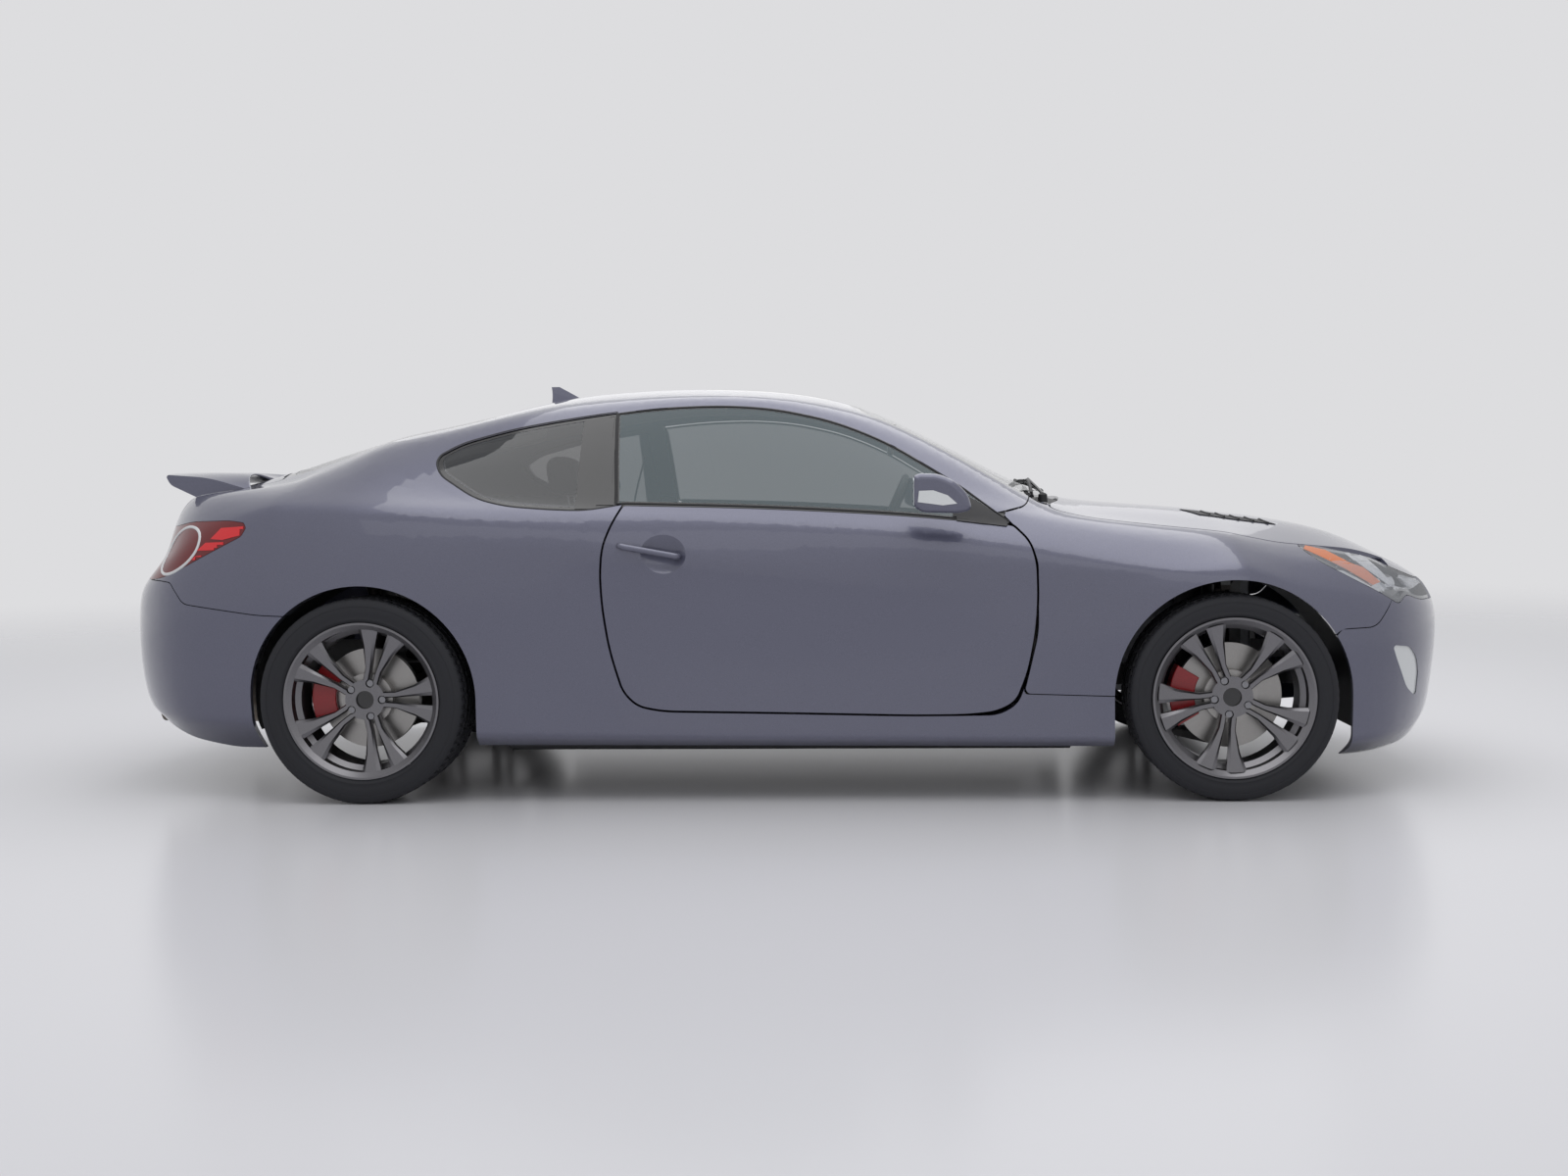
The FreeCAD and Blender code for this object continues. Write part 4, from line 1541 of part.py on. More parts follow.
def spoiler():
    """The deck wing: a thin blade whose ends turn down to stand on the trunk lid."""
    sections = []
    for i, share in enumerate(SPOILER_STATIONS):
        (fx, fz), (rx, rz) = side_points([SPOILER_FRONT_SHARES[i], SPOILER_REAR_SHARES[i]])
        y, depth = -share * HALF_WIDTH, SPOILER_DEPTHS[i]
        shape = [Vec(fx, y, fz), Vec((fx + rx) / 2, y, (fz + rz) / 2 + depth * WING_CROWN_SHARE),
                 Vec(rx, y, rz),
                 Vec(rx + depth * WING_CROWN_SHARE, y, rz - depth * WING_EDGE_SHARE),
                 Vec((fx + rx) / 2, y, (fz + rz) / 2 - depth * WING_BELLY_SHARE),
                 Vec(fx - depth * WING_NOSE_SHARE, y, fz - depth * WING_EDGE_SHARE)]
        sections.append(rounded_path(shape, HOOD_CORNER_SHARE))
    wing = Part.makeLoft(sections, True, False)
    return both_sides(largest(wing.cut(form(-SEAT_GAP))))


def roof_antenna():
    """The fin on the roof's rear edge."""
    x, z = station_x(FIN_SHARE) - FIN_LENGTH * FIN_SHIFT_SHARE, crown_z(FIN_SHARE)
    sections = []
    for rise, start, end, width in FIN_SECTIONS_SHARES:
        level, half = z + rise * FIN_HEIGHT, FIN_WIDTH * width / 2
        back, front = x + start * FIN_LENGTH, x + end * FIN_LENGTH
        ring = [Vec(back, -half, level), Vec(front, -half * FIN_FRONT_SHARE, level),
                Vec(front, half * FIN_FRONT_SHARE, level),
                Vec(back, half, level)]
        sections.append(rounded_path(ring, TIGHT_CORNER_SHARE))
    fin = Part.makeLoft(sections, True, False)
    above = form(-SEAT_GAP)
    return largest(fin.cut([above, mirrored(above)]))


def engine():
    """The engine as one plain block in its bay."""
    return block(FIREWALL_X + ENGINE_GAP_SHEETS * SHEET, station_x(ENGINE_FRONT_SHARE), -ENGINE_HALF_WIDTH,
                 ENGINE_HALF_WIDTH, *ENGINE_Z)


def front_suspension():
    """Crossmember, lower and upper arms, and the spring units of the front axle."""
    ball_y = KINGPIN_INSET - FRONT_TRACK / 2
    x, z = FRONT_AXLE_X, FRONT_TYRE_RADIUS - KNUCKLE_HEIGHT
    low = z - SEAT_GAP - ARM_THICKNESS
    half = KNUCKLE_ARM / 2
    lower = plan_plate([(x - LOWER_ARM_SPAN, -RAIL_Y), (x + LOWER_ARM_SPAN, -RAIL_Y),
                        (x + half, ball_y - half),
                        (x - half, ball_y - half)],
                       low, low + ARM_THICKNESS)
    top = FRONT_TYRE_RADIUS + KNUCKLE_TOP + SEAT_GAP
    arm_top = top + ARM_THICKNESS * UPPER_ARM_SHARE
    upper = plan_plate([(x - UPPER_ARM_SPAN, -RAIL_Y - RAIL_SIZE / 2),
                        (x + UPPER_ARM_SPAN, -RAIL_Y - RAIL_SIZE / 2),
                        (x + half, ball_y - half), (x - half, ball_y - half)], top, arm_top)
    tower = block(x - TOWER_SPAN, x + TOWER_SPAN, -RAIL_Y - RAIL_SIZE / 2, -RAIL_Y,
                  RAIL_Z + RAIL_SIZE + SEAT_GAP,
                  arm_top)
    cross = block(x - CROSSMEMBER_SPAN, x + CROSSMEMBER_SPAN, -RAIL_Y - RAIL_SIZE / 2,
                  RAIL_Y + RAIL_SIZE / 2, low,
                  RAIL_Z - SEAT_GAP)
    cross = cross.cut(block(x - OVERRUN, x + OVERRUN, -RAIL_Y + half, RAIL_Y - half,
                            low + 2 * ARM_THICKNESS, RAIL_Z))
    room = ENGINE_HALF_WIDTH + ENGINE_ROOM
    cross = cross.cut(block(x - OVERRUN - OVERLAP, x + OVERRUN + OVERLAP, -room, room,
                            ENGINE_Z[0] - SEAT_GAP, RAIL_Z))
    damper = rod(DAMPER_RADIUS, Vec(x, -DAMPER_Y, low + ARM_THICKNESS - OVERLAP),
                 Vec(x, -DAMPER_Y, top + OVERLAP))
    spring = rod(SPRING_RADIUS, Vec(x, -DAMPER_Y, SPRING_SEAT_Z), Vec(x, -DAMPER_Y, top + OVERLAP))
    right = lower.fuse([upper, tower, damper, spring])
    return cross.fuse([right, mirrored(right)])


def plan_plate(points, low, high):
    wire = Part.makePolygon([Vec(x, y, low) for x, y in points] + [Vec(points[0][0], points[0][1], low)])
    return Part.Face(wire).extrude(Vec(0, 0, high - low))


def rear_suspension():
    """Subframe, differential, half shafts, arms, hub carriers and spring units of the rear axle."""
    x, z = REAR_AXLE_X, REAR_TYRE_RADIUS
    hub_y = -REAR_TRACK / 2
    back = DISC_PLANE + CALIPER_HALF_DEPTH + SEAT_GAP
    shaft = rod(HUB_SHAFT_RADIUS, Vec(x, hub_y + SEAT_GAP - HUB_BACK, z), Vec(x, hub_y + back, z))
    bearing = rod(BEARING_RADIUS, Vec(x, hub_y + DISC_PLANE + DISC_THICKNESS, z),
                  Vec(x, hub_y + back + KNUCKLE_ARM, z))
    upright = block(x - UPRIGHT_SPAN, x + UPRIGHT_SPAN, hub_y + back, hub_y + back + KNUCKLE_ARM,
                    z - UPRIGHT_DROP,
                    z + UPRIGHT_RISE)
    bracket = block(x - CALIPER_INNER_RADIUS - KNUCKLE_ARM, x, hub_y + back,
                    hub_y + back + KNUCKLE_ARM / 2,
                    z - KNUCKLE_ARM, z + KNUCKLE_ARM)
    half_shaft = rod(HALFSHAFT_RADIUS, Vec(x, hub_y + back, z), Vec(x, -DIFF_RADIUS / 2, z - DIFF_DROP))
    arm_y, low = hub_y + back + REAR_ARM_LAP, z - UPRIGHT_DROP
    low_arm = plan_plate([(x - REAR_ARM_BACK, -REAR_ARM_Y), (x + REAR_ARM_FRONT, -REAR_ARM_Y),
                          (x + REAR_ARM_END, arm_y), (x - REAR_ARM_END, arm_y)], low, low + ARM_THICKNESS)
    up_arm = plan_plate([(x - REAR_LINK_BACK, -REAR_ARM_Y), (x + REAR_ARM_FRONT, -REAR_ARM_Y),
                         (x + REAR_LINK_END, arm_y), (x - REAR_LINK_END, arm_y)],
                        TRUNK_FLOOR_Z - ARM_THICKNESS, TRUNK_FLOOR_Z - SEAT_GAP)
    frame = block(x - SUBFRAME_BACK, x + SUBFRAME_FRONT, -SUBFRAME_OUT_Y, -SUBFRAME_IN_Y,
                  z - SUBFRAME_DROP,
                  TRUNK_FLOOR_Z - SEAT_GAP)
    cross = block(x - SUBFRAME_BACK, x - DIFF_RADIUS * SUBFRAME_BAR_SHARE, -SUBFRAME_OUT_Y, OVERRUN,
                  z - SUBFRAME_BAR_LOW, z - SUBFRAME_BAR_HIGH)
    damper_y = SPRING_RADIUS / 2 - DAMPER_Y + SPRING_RADIUS / 2
    strut_x = x - REAR_DAMPER_BACK
    damper = rod(DAMPER_RADIUS, Vec(strut_x, damper_y, z - REAR_DAMPER_DROP),
                 Vec(strut_x, damper_y, z + ARCH_RADIUS - LINER_GAP))
    spring = rod(SPRING_RADIUS, Vec(strut_x, damper_y, z - REAR_SPRING_DROP),
                 Vec(strut_x, damper_y, z + REAR_SPRING_RISE))
    diff = rod(DIFF_RADIUS, Vec(x, -DIFF_RADIUS, z - DIFF_DROP), Vec(x, OVERRUN, z - DIFF_DROP)).fuse(
        rod(DIFF_RADIUS * DIFF_NOSE_SHARE, Vec(x, 0, z - DIFF_DROP),
            Vec(x + DIFF_NOSE_LENGTH, 0, DIFF_NOSE_Z)))
    right = shaft.fuse([bearing, upright, bracket, half_shaft, low_arm, up_arm, frame, cross, damper,
                        spring, diff])
    right = right.common(block(x - REAR_AXLE_REACH, x + REAR_AXLE_REACH, -HALF_WIDTH, 0, 0, ROOF_HEIGHT))
    return both_sides(right)


def driveshaft():
    """Gearbox tail and propeller shaft inside the tunnel."""
    end = Vec(REAR_AXLE_X + DIFF_NOSE_LENGTH + 2 * HINGE_LEAF, 0, DIFF_NOSE_Z)
    start = Vec(FIREWALL_X - GEARBOX_LENGTH, 0, PROPSHAFT_Z - GEARBOX_DROP)
    shaft = rod(PROPSHAFT_RADIUS, start, end)
    box = block(FIREWALL_X - GEARBOX_LENGTH, FIREWALL_X - SHEET, -GEARBOX_HALF_WIDTH, GEARBOX_HALF_WIDTH,
                GEARBOX_LOW_Z, TUNNEL_TOP_Z - SHEET - GEARBOX_TOP_GAP)
    return shaft.fuse(box)


def exhaust():
    """Pipe, silencer and two polished tips."""
    rear, front = station_x(MUFFLER_SHARES[0]), station_x(MUFFLER_SHARES[1])
    box = block(rear, front, -MUFFLER_HALF_WIDTH, MUFFLER_HALF_WIDTH, MUFFLER_LOW_Z,
                TRUNK_FLOOR_Z - MUFFLER_TOP_GAP)
    long_edges = [e for e in box.Edges if abs(e.BoundBox.YLength - 2 * MUFFLER_HALF_WIDTH) < OVERLAP]
    box = box.makeFillet(MUFFLER_EDGE, long_edges)
    pipe = bent_bar([Vec(FIREWALL_X - PIPE_START, PIPE_Y, PIPE_Z),
                     Vec(REAR_AXLE_X + PIPE_BEND_FRONT, PIPE_Y, PIPE_Z),
                     Vec(REAR_AXLE_X + PIPE_BEND_MIDDLE, PIPE_REAR_Y, PIPE_Z + PIPE_RISE),
                     Vec(REAR_AXLE_X - PIPE_BEND_REAR, PIPE_REAR_Y, PIPE_Z + PIPE_RISE),
                     Vec(front - PIPE_END_LAP, PIPE_REAR_Y, PIPE_END_Z)], PIPE_RADIUS, CORNER_SHARE)
    parts = [pipe]
    for side in (-1, 1):
        start, end = Vec(rear + TAILPIPE_LAP, side * TAILPIPE_Y, TIP_Z), Vec(rear - TAILPIPE_END,
                                                                             side * TIP_Y, TIP_Z)
        parts.append(rod(PIPE_RADIUS, start, end))
        tip_end = Vec(station_x(TIP_END_SHARE), side * TIP_Y, TIP_Z)
        parts.append(rod(TIP_RADIUS, end + Vec(TIP_LAP, 0, 0), tip_end))
    whole = box.fuse(parts)
    for side in (-1, 1):
        mouth = Vec(station_x(TIP_END_SHARE), side * TIP_Y, TIP_Z)
        whole = whole.cut(rod(TIP_RADIUS - TIP_WALL, mouth + Vec(TIP_BORE, 0, 0),
                              mouth - Vec(OVERLAP, 0, 0)))
    return whole


def rear_caliper():
    return caliper(REAR_DISC_RADIUS, REAR_CALIPER_DEG)


def radiator():
    """The cooling pack behind the grille, and the slam panel over it."""
    x = station_x(RADIATOR_SHARE) + SEAT_GAP
    return block(x, x + RADIATOR_DEPTH, -RADIATOR_HALF_WIDTH, RADIATOR_HALF_WIDTH, RADIATOR_LOW_Z,
                 RADIATOR_TOP_SHARE * ROOF_HEIGHT)


def tyre_at(front):
    if front:
        return at_wheel(tyre(FRONT_TYRE_RADIUS, FRONT_TYRE_WIDTH), True)
    return at_wheel(tyre(REAR_TYRE_RADIUS, REAR_TYRE_WIDTH), False)


def full_hood():
    return hood().fuse([hood_ear(), mirrored(hood_ear())])


def full_trunk_lid():
    return trunk_lid().fuse([lid_arm(), mirrored(lid_arm())])


# Sub-parts made once, and sub-parts made for the right side and mirrored to the left
CENTRE_NODES = {
    "quarter_glass": lambda: pair(quarter_glass()),
    "roof_panel": roof_panel,
    "roof_frame": roof_frame,
    "sunroof_glass": sunroof_glass,
    "windshield": lambda: pane(WINDSHIELD_SHARES),
    "rear_glass": lambda: pane(REAR_GLASS_SHARES),
    "cowl_panel": cowl,
    "hood": full_hood,
    "trunk_lid": full_trunk_lid,
    "spoiler": spoiler,
    "roof_antenna": roof_antenna,
    "front_bumper": front_bumper,
    "grille": grille,
    "fog_lamps": lambda: pair(fog_lamp()),
    "rear_bumper": rear_bumper,
    "rear_diffuser": rear_diffuser,
    "headlamp_lenses": lambda: pair(headlamp_lens()),
    "headlamp_units": lambda: pair(headlamp_unit()),
    "tail_lamps": lambda: pair(tail_lamp()),
    "body_structure": structure,
    "wheel_liners": wheel_liners,
    "dashboard": dashboard,
    "steering_wheel": steering_wheel,
    "front_seats": front_seats,
    "rear_seat": rear_seat,
    "engine_block": engine,
    "radiator": radiator,
    "driveshaft": driveshaft,
    "exhaust": exhaust,
    "front_suspension": front_suspension,
    "rear_suspension": rear_suspension,
    "rear_calipers": lambda: pair(at_wheel(rear_caliper(), False)),
}
SIDE_NODES = {
    "body_side": body_side,
    "front_fender": front_fender,
    "door_panel": door_panel,
    "door_glass": door_glass,
    "door_mirror": mirror_housing,
    "front_knuckle": lambda: at_wheel(knuckle(), True),
    "front_caliper": lambda: at_wheel(knuckle_caliper(), True),
    "front_rim": lambda: at_wheel(rim(FRONT_RIM_WIDTH, FRONT_WHEEL_TURN_DEG), True),
    "rear_rim": lambda: at_wheel(rim(REAR_RIM_WIDTH, REAR_WHEEL_TURN_DEG), False),
    "front_tyre": lambda: tyre_at(True),
    "rear_tyre": lambda: tyre_at(False),
    "front_disc": lambda: at_wheel(brake_disc(FRONT_DISC_RADIUS), True),
    "rear_disc": lambda: at_wheel(brake_disc(REAR_DISC_RADIUS), False),
}


def export(name, shape):
    shape.exportStep(os.path.join("parts", name + ".step"))


def build():
    os.makedirs("parts", exist_ok=True)
    for name, make in CENTRE_NODES.items():
        export(name, make())
    for name, make in SIDE_NODES.items():
        shape = make()
        export(name + "_right", shape)
        export(name + "_left", mirrored(shape))


if __name__ == "__main__":
    build()
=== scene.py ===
"""Looks of the two-door coupe: paint, glass, rubber, trim, tyres, seats and cabin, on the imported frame."""

import json
import math

import bmesh
import bpy
from mathutils import Matrix, Vector
from mathutils.bvhtree import BVHTree

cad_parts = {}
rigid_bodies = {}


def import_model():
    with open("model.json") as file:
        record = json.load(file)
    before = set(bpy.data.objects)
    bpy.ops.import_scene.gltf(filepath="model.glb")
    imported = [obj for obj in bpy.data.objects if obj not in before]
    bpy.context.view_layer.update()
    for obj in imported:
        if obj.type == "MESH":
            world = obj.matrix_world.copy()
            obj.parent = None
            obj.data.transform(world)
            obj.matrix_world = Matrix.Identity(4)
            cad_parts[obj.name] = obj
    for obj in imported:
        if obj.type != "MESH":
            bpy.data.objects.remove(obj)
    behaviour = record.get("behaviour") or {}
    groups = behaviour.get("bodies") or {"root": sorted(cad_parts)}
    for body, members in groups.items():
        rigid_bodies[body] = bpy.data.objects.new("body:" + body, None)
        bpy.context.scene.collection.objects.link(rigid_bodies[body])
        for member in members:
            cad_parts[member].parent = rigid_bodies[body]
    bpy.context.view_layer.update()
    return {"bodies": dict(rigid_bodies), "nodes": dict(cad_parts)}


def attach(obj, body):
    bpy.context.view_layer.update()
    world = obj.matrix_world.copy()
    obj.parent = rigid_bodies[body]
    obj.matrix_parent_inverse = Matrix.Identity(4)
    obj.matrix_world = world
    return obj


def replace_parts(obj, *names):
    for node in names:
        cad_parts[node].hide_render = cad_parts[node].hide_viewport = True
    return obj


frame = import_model()
NODES = frame["nodes"]

# sizes, metres
FRONT_AXLE_X = 1.485
REAR_AXLE_X = -1.335
SIDES = {"left": 1, "right": -1}
WHEELS = {
    "front": {"x": FRONT_AXLE_X, "track": 1.605, "radius": 0.331, "width": 0.225, "nut_turn_deg": 46.0},
    "rear": {"x": REAR_AXLE_X, "track": 1.625, "radius": 0.339, "width": 0.245, "nut_turn_deg": 90.0},
}
RIM_RADIUS = 0.2583
TREAD_PITCHES = 72
LUG_CIRCLE_RADIUS = 0.05715
LUG_NUT_RADIUS = 0.0108
HUB_CAP_RADIUS = 0.0303
FACE_LIFT = 0.0006
LINE_STEPS = 6
TURN_STEPS = 48
JOIN_DISTANCE = 0.00001
FLOOR_FADE = (4.5, 13.0)
ROOM_COLOUR = "dddddf"
ROOM_STRENGTH = 0.66

CAMERA_PLACE = (0.3648, -6.2426, 1.0042)
CAMERA_LENS = 38.23
CAMERA_YAW_DEG = 3.335
CAMERA_PITCH_DEG = 3.293
CAMERA_ROLL_DEG = 0.741


PORE_MM = 2.4


# material helpers
def tone(hex_code):
    """A hex sRGB colour as the linear one that a shader takes."""
    channels = [int(hex_code[i : i + 2], 16) / 255 for i in (0, 2, 4)]
    return [c / 12.92 if c <= 0.04045 else ((c + 0.055) / 1.055) ** 2.4 for c in channels] + [1.0]


def add_node(material, kind, values=None, links=None, **settings):
    """One shader node with its settings, socket values and links."""
    node = material.node_tree.nodes.new(kind)
    for name, value in settings.items():
        setattr(node, name, value)
    for socket, value in (values or {}).items():
        node.inputs[socket].default_value = value
    for socket, source in (links or {}).items():
        material.node_tree.links.new(source, node.inputs[socket])
    return node


def new_material(name, values):
    """A material whose shader has these constant values."""
    material = bpy.data.materials.new(name)
    material.use_nodes = True
    shader = material.node_tree.nodes["Principled BSDF"]
    for socket, value in values.items():
        shader.inputs[socket].default_value = value
    return material, shader


def object_place(material):
    """Object coordinates."""
    return add_node(material, "ShaderNodeTexCoord").outputs["Object"]


def noise(material, size_mm, detail=2.0):
    """A noise pattern whose grains are about size_mm across."""
    place = object_place(material)
    values = {"Scale": 1000.0 / size_mm, "Detail": detail}
    pattern = add_node(material, "ShaderNodeTexNoise", values, {"Vector": place})
    return pattern.outputs["Fac"]


def cell_edges(material, place, size_mm):
    """Distance to the nearest edge in a pattern of cells about size_mm across."""
    scale = {"Scale": 1000.0 / size_mm}
    cells = add_node(material, "ShaderNodeTexVoronoi", scale, {"Vector": place}, feature="DISTANCE_TO_EDGE")
    return cells.outputs["Distance"]


def shades(material, factor, dark, light, low=0.3, high=0.7):
    """A ramp between two hex colours."""
    ramp = add_node(material, "ShaderNodeValToRGB", None, {"Fac": factor})
    ramp.color_ramp.elements[0].position = low
    ramp.color_ramp.elements[1].position = high
    ramp.color_ramp.elements[0].color = tone(dark)
    ramp.color_ramp.elements[1].color = tone(light)
    return ramp.outputs["Color"]


def bump(material, shader, height, depth_mm, strength=1.0):
    """Surface relief of a depth in millimetres."""
    values = {"Distance": depth_mm / 1000, "Strength": strength}
    relief = add_node(material, "ShaderNodeBump", values, {"Height": height})
    material.node_tree.links.new(relief.outputs["Normal"], shader.inputs["Normal"])


def varied(material, shader, size_mm, dark, light, rough_low=None, rough_high=None, detail=2.0):
    """Slight drift of colour, and of roughness where that is given."""
    factor = noise(material, size_mm, detail)
    material.node_tree.links.new(shades(material, factor, dark, light), shader.inputs["Base Color"])
    if rough_low is not None:
        limits = {"To Min": rough_low, "To Max": rough_high}
        spread = add_node(material, "ShaderNodeMapRange", limits, {"Value": factor})
        material.node_tree.links.new(spread.outputs["Result"], shader.inputs["Roughness"])
    return factor


# materials
def metallic_paint():
    """Slate metallic base under clear lacquer: fine flakes sparkle, the lacquer mirrors the room."""
    material, shader = new_material(
        "paint_slate_metallic",
        {"Metallic": 0.55, "Roughness": 0.34, "Coat Weight": 1.0, "Coat Roughness": 0.03, "Coat IOR": 1.5},
    )
    # real flakes are 0.02 mm, too fine to show, so they are drawn 1.2 mm across
    varied(material, shader, 1.2, "58596a", "646578", 0.30, 0.38, detail=0.0)
    return material


def black_gloss():
    """Piano-black moulded trim under lacquer."""
    material, shader = new_material(
        "plastic_black_gloss", {"Roughness": 0.12, "Coat Weight": 0.6, "Coat Roughness": 0.04}
    )
    varied(material, shader, 30, "0c0c0e", "121215", 0.1, 0.16)
    return material


def black_grained():
    """Moulded ABS with the fine pebble grain of exterior trim."""
    material, shader = new_material("plastic_black_grained", {"Roughness": 0.55, "IOR": 1.5})
    factor = varied(material, shader, 1.5, "131316", "1d1d21", 0.48, 0.62)
    bump(material, shader, factor, 0.12)
    return material


def seal_rubber():
    """EPDM weatherstrip: matt, nearly black, a little chalky."""
    material, shader = new_material("rubber_weatherstrip", {"Roughness": 0.62, "IOR": 1.52})
    varied(material, shader, 4, "101013", "19191d", 0.55, 0.7)
    return material


def tyre_rubber():
    """Carbon-filled tyre compound: dark, faintly blue, with a worn dusty tread."""
    material, shader = new_material("rubber_tyre", {"Roughness": 0.72, "IOR": 1.52})
    factor = varied(material, shader, 6, "131419", "1c1d24", 0.62, 0.82, detail=4.0)
    bump(material, shader, factor, 0.15)
    return material


def tinted_glass(name, tint, density):
    """One face of a tinted pane: its density dims what is behind, its gloss mirrors the room."""
    values = {"Base Color": tone(tint), "Alpha": density, "IOR": 1.52, "Roughness": 0.01}
    values |= {"Coat Weight": 1.0, "Coat Roughness": 0.01, "Coat IOR": 1.5}
    return new_material(name, values)[0]


def lamp_plastic(name, tint, density, glow=0.0, flutes_mm=0.0):
    """Clear or coloured polycarbonate of a lamp, with moulded flutes where a width is given."""
    values = {"Base Color": tone(tint), "Alpha": density, "IOR": 1.58, "Roughness": 0.06}
    # a see-through lens dims its own gloss, so only that kind gets the coat
    coat = 1.0 if density < 1.0 else 0.0
    values |= {"Coat Weight": coat, "Coat Roughness": 0.02}
    values |= {"Emission Color": tone(tint), "Emission Strength": glow}
    material, shader = new_material(name, values)
    if flutes_mm:
        place = object_place(material)
        bump(material, shader, cell_edges(material, place, flutes_mm), 0.6, 0.7)
    return material


def metal(name, dark, light, roughness, grain_mm=0.8, relief_mm=0.02):
    """Bare or lacquered metal with slight drift in colour and gloss."""
    material, shader = new_material(name, {"Metallic": 1.0, "Roughness": roughness})
    factor = varied(material, shader, grain_mm, dark, light, roughness * 0.85, min(1.0, roughness * 1.2))
    if relief_mm:
        bump(material, shader, factor, relief_mm)
    return material


def turned_metal(name, dark, light, roughness, centre):
    """Cast iron turned on a lathe: fine rings round its centre."""
    material, shader = new_material(name, {"Metallic": 1.0, "Roughness": roughness})
    place = add_node(material, "ShaderNodeTexCoord")
    shift = {"Location": (-centre[0], 0, -centre[1])}
    middle = add_node(material, "ShaderNodeMapping", shift, {"Vector": place.outputs["Object"]})
    rings = add_node(
        material,
        "ShaderNodeTexWave",
        {"Scale": 110.0, "Distortion": 1.5, "Detail": 2.0, "Detail Scale": 6.0},
        {"Vector": middle.outputs["Vector"]},
        wave_type="RINGS",
        rings_direction="Y",
    )
    colour = shades(material, rings.outputs["Fac"], dark, light, 0.2, 0.8)
    material.node_tree.links.new(colour, shader.inputs["Base Color"])
    bump(material, shader, rings.outputs["Fac"], 0.05, 0.4)
    return material


def powder_coat(name, dark, light):
    """Baked coating with a faint orange peel."""
    material, shader = new_material(name, {"Roughness": 0.35, "Coat Weight": 0.4, "Coat Roughness": 0.15})
    factor = varied(material, shader, 3, dark, light, 0.3, 0.42)
    bump(material, shader, factor, 0.05)
    return material


def grained_leather(name, dark, light):
    """Pigmented leather with pores and fine creases."""
    material, shader = new_material(name, {"Roughness": 0.5, "Sheen Weight": 0.15, "IOR": 1.45})
    place = object_place(material)
    pores = cell_edges(material, place, PORE_MM)
    varied(material, shader, 40, dark, light, 0.44, 0.58, detail=5.0)
    bump(material, shader, pores, 0.25, 0.5)
    return material


def woven_cloth(name, dark, light, thread_mm=2.0):
    """Flat woven trim cloth, its threads drawn coarse enough to show."""
    material, shader = new_material(name, {"Roughness": 0.9, "Sheen Weight": 0.3})
    place = object_place(material)
    scale = {"Scale": 314.0 / thread_mm}
    warp = add_node(material, "ShaderNodeTexWave", scale, {"Vector": place}, bands_direction="X")
    weft = add_node(material, "ShaderNodeTexWave", scale, {"Vector": place}, bands_direction="Z")
    threads = {0: warp.outputs["Fac"], 1: weft.outputs["Fac"]}
    both = add_node(material, "ShaderNodeMath", None, threads, operation="MAXIMUM")
    colour = shades(material, both.outputs["Value"], dark, light)
    material.node_tree.links.new(colour, shader.inputs["Base Color"])
    bump(material, shader, both.outputs["Value"], 0.3, 0.6)
    return material


def mirror_glass():
    """Silvered mirror glass."""
    material, shader = new_material("glass_mirror", {"Metallic": 1.0, "Roughness": 0.02})
    varied(material, shader, 200, "c4c8cc", "cdd1d5")
    return material


PAINT = metallic_paint()
GLOSS = black_gloss()
GRAINED = black_grained()
SEAL = seal_rubber()
RUBBER = tyre_rubber()
SIDE_GLASS = tinted_glass("glass_side_tinted", "103a44", 0.66)
SCREEN_GLASS = tinted_glass("glass_windshield", "2a4446", 0.30)
REAR_GLASS = tinted_glass("glass_rear_tinted", "12181e", 0.72)
ROOF_GLASS = tinted_glass("glass_sunroof_dark", "08090b", 0.96)
PANE_EDGE = tinted_glass("glass_ground_edge", "0c1213", 1.0)
CLEAR_LENS = lamp_plastic("polycarbonate_clear", "c9ccd2", 0.30)
WHITE_LENS = lamp_plastic("polycarbonate_white_fluted", "c9cbcc", 1.0, 0.12, 7.0)
RED_SHELL = lamp_plastic("acrylic_red_dark", "6a070d", 1.0)
RED_LENS = lamp_plastic("acrylic_red", "c01c22", 1.0, 0.25, 6.0)
AMBER_LENS = lamp_plastic("acrylic_amber", "c46a34", 1.0, 0.06, 6.0)
CHROME = metal("reflector_aluminised", "c2c5ca", "d6d8dc", 0.08, 20, 0)
GUNMETAL = metal("wheel_gunmetal_lacquer", "6e6d70", "828184", 0.30, 1.0, 0.01)
STEEL = metal("steel_zinc_plated", "7c7c80", "929296", 0.38)
CAST_IRON = metal("iron_cast", "3c3836", "565250", 0.6, 2.0, 0.08)
ALUMINIUM = metal("aluminium_cast", "86888c", "a2a4a8", 0.45, 2.5, 0.08)
STAINLESS = metal("stainless_polished", "9a9a9e", "b4b4b8", 0.16, 8, 0)
EXHAUST_STEEL = metal("stainless_heat_stained", "6e645c", "8e8880", 0.34, 30, 0.02)
CALIPER_RED = powder_coat("powder_coat_red", "8c1018", "a8161e")
UNDERBODY = powder_coat("underbody_coating", "1a1a1c", "26262a")
LEATHER = grained_leather("leather_black", "17171a", "232327")
DASH_SKIN = grained_leather("dashboard_skin_black", "141416", "1e1e21")
CARPET = woven_cloth("carpet_needled", "141417", "222226", 3.0)
HEADLINER = woven_cloth("headliner_knit", "6e6c6a", "84827f", 2.0)
BELT_WEBBING = woven_cloth("webbing_polyester", "18181b", "29292d", 1.6)
MIRROR = mirror_glass()


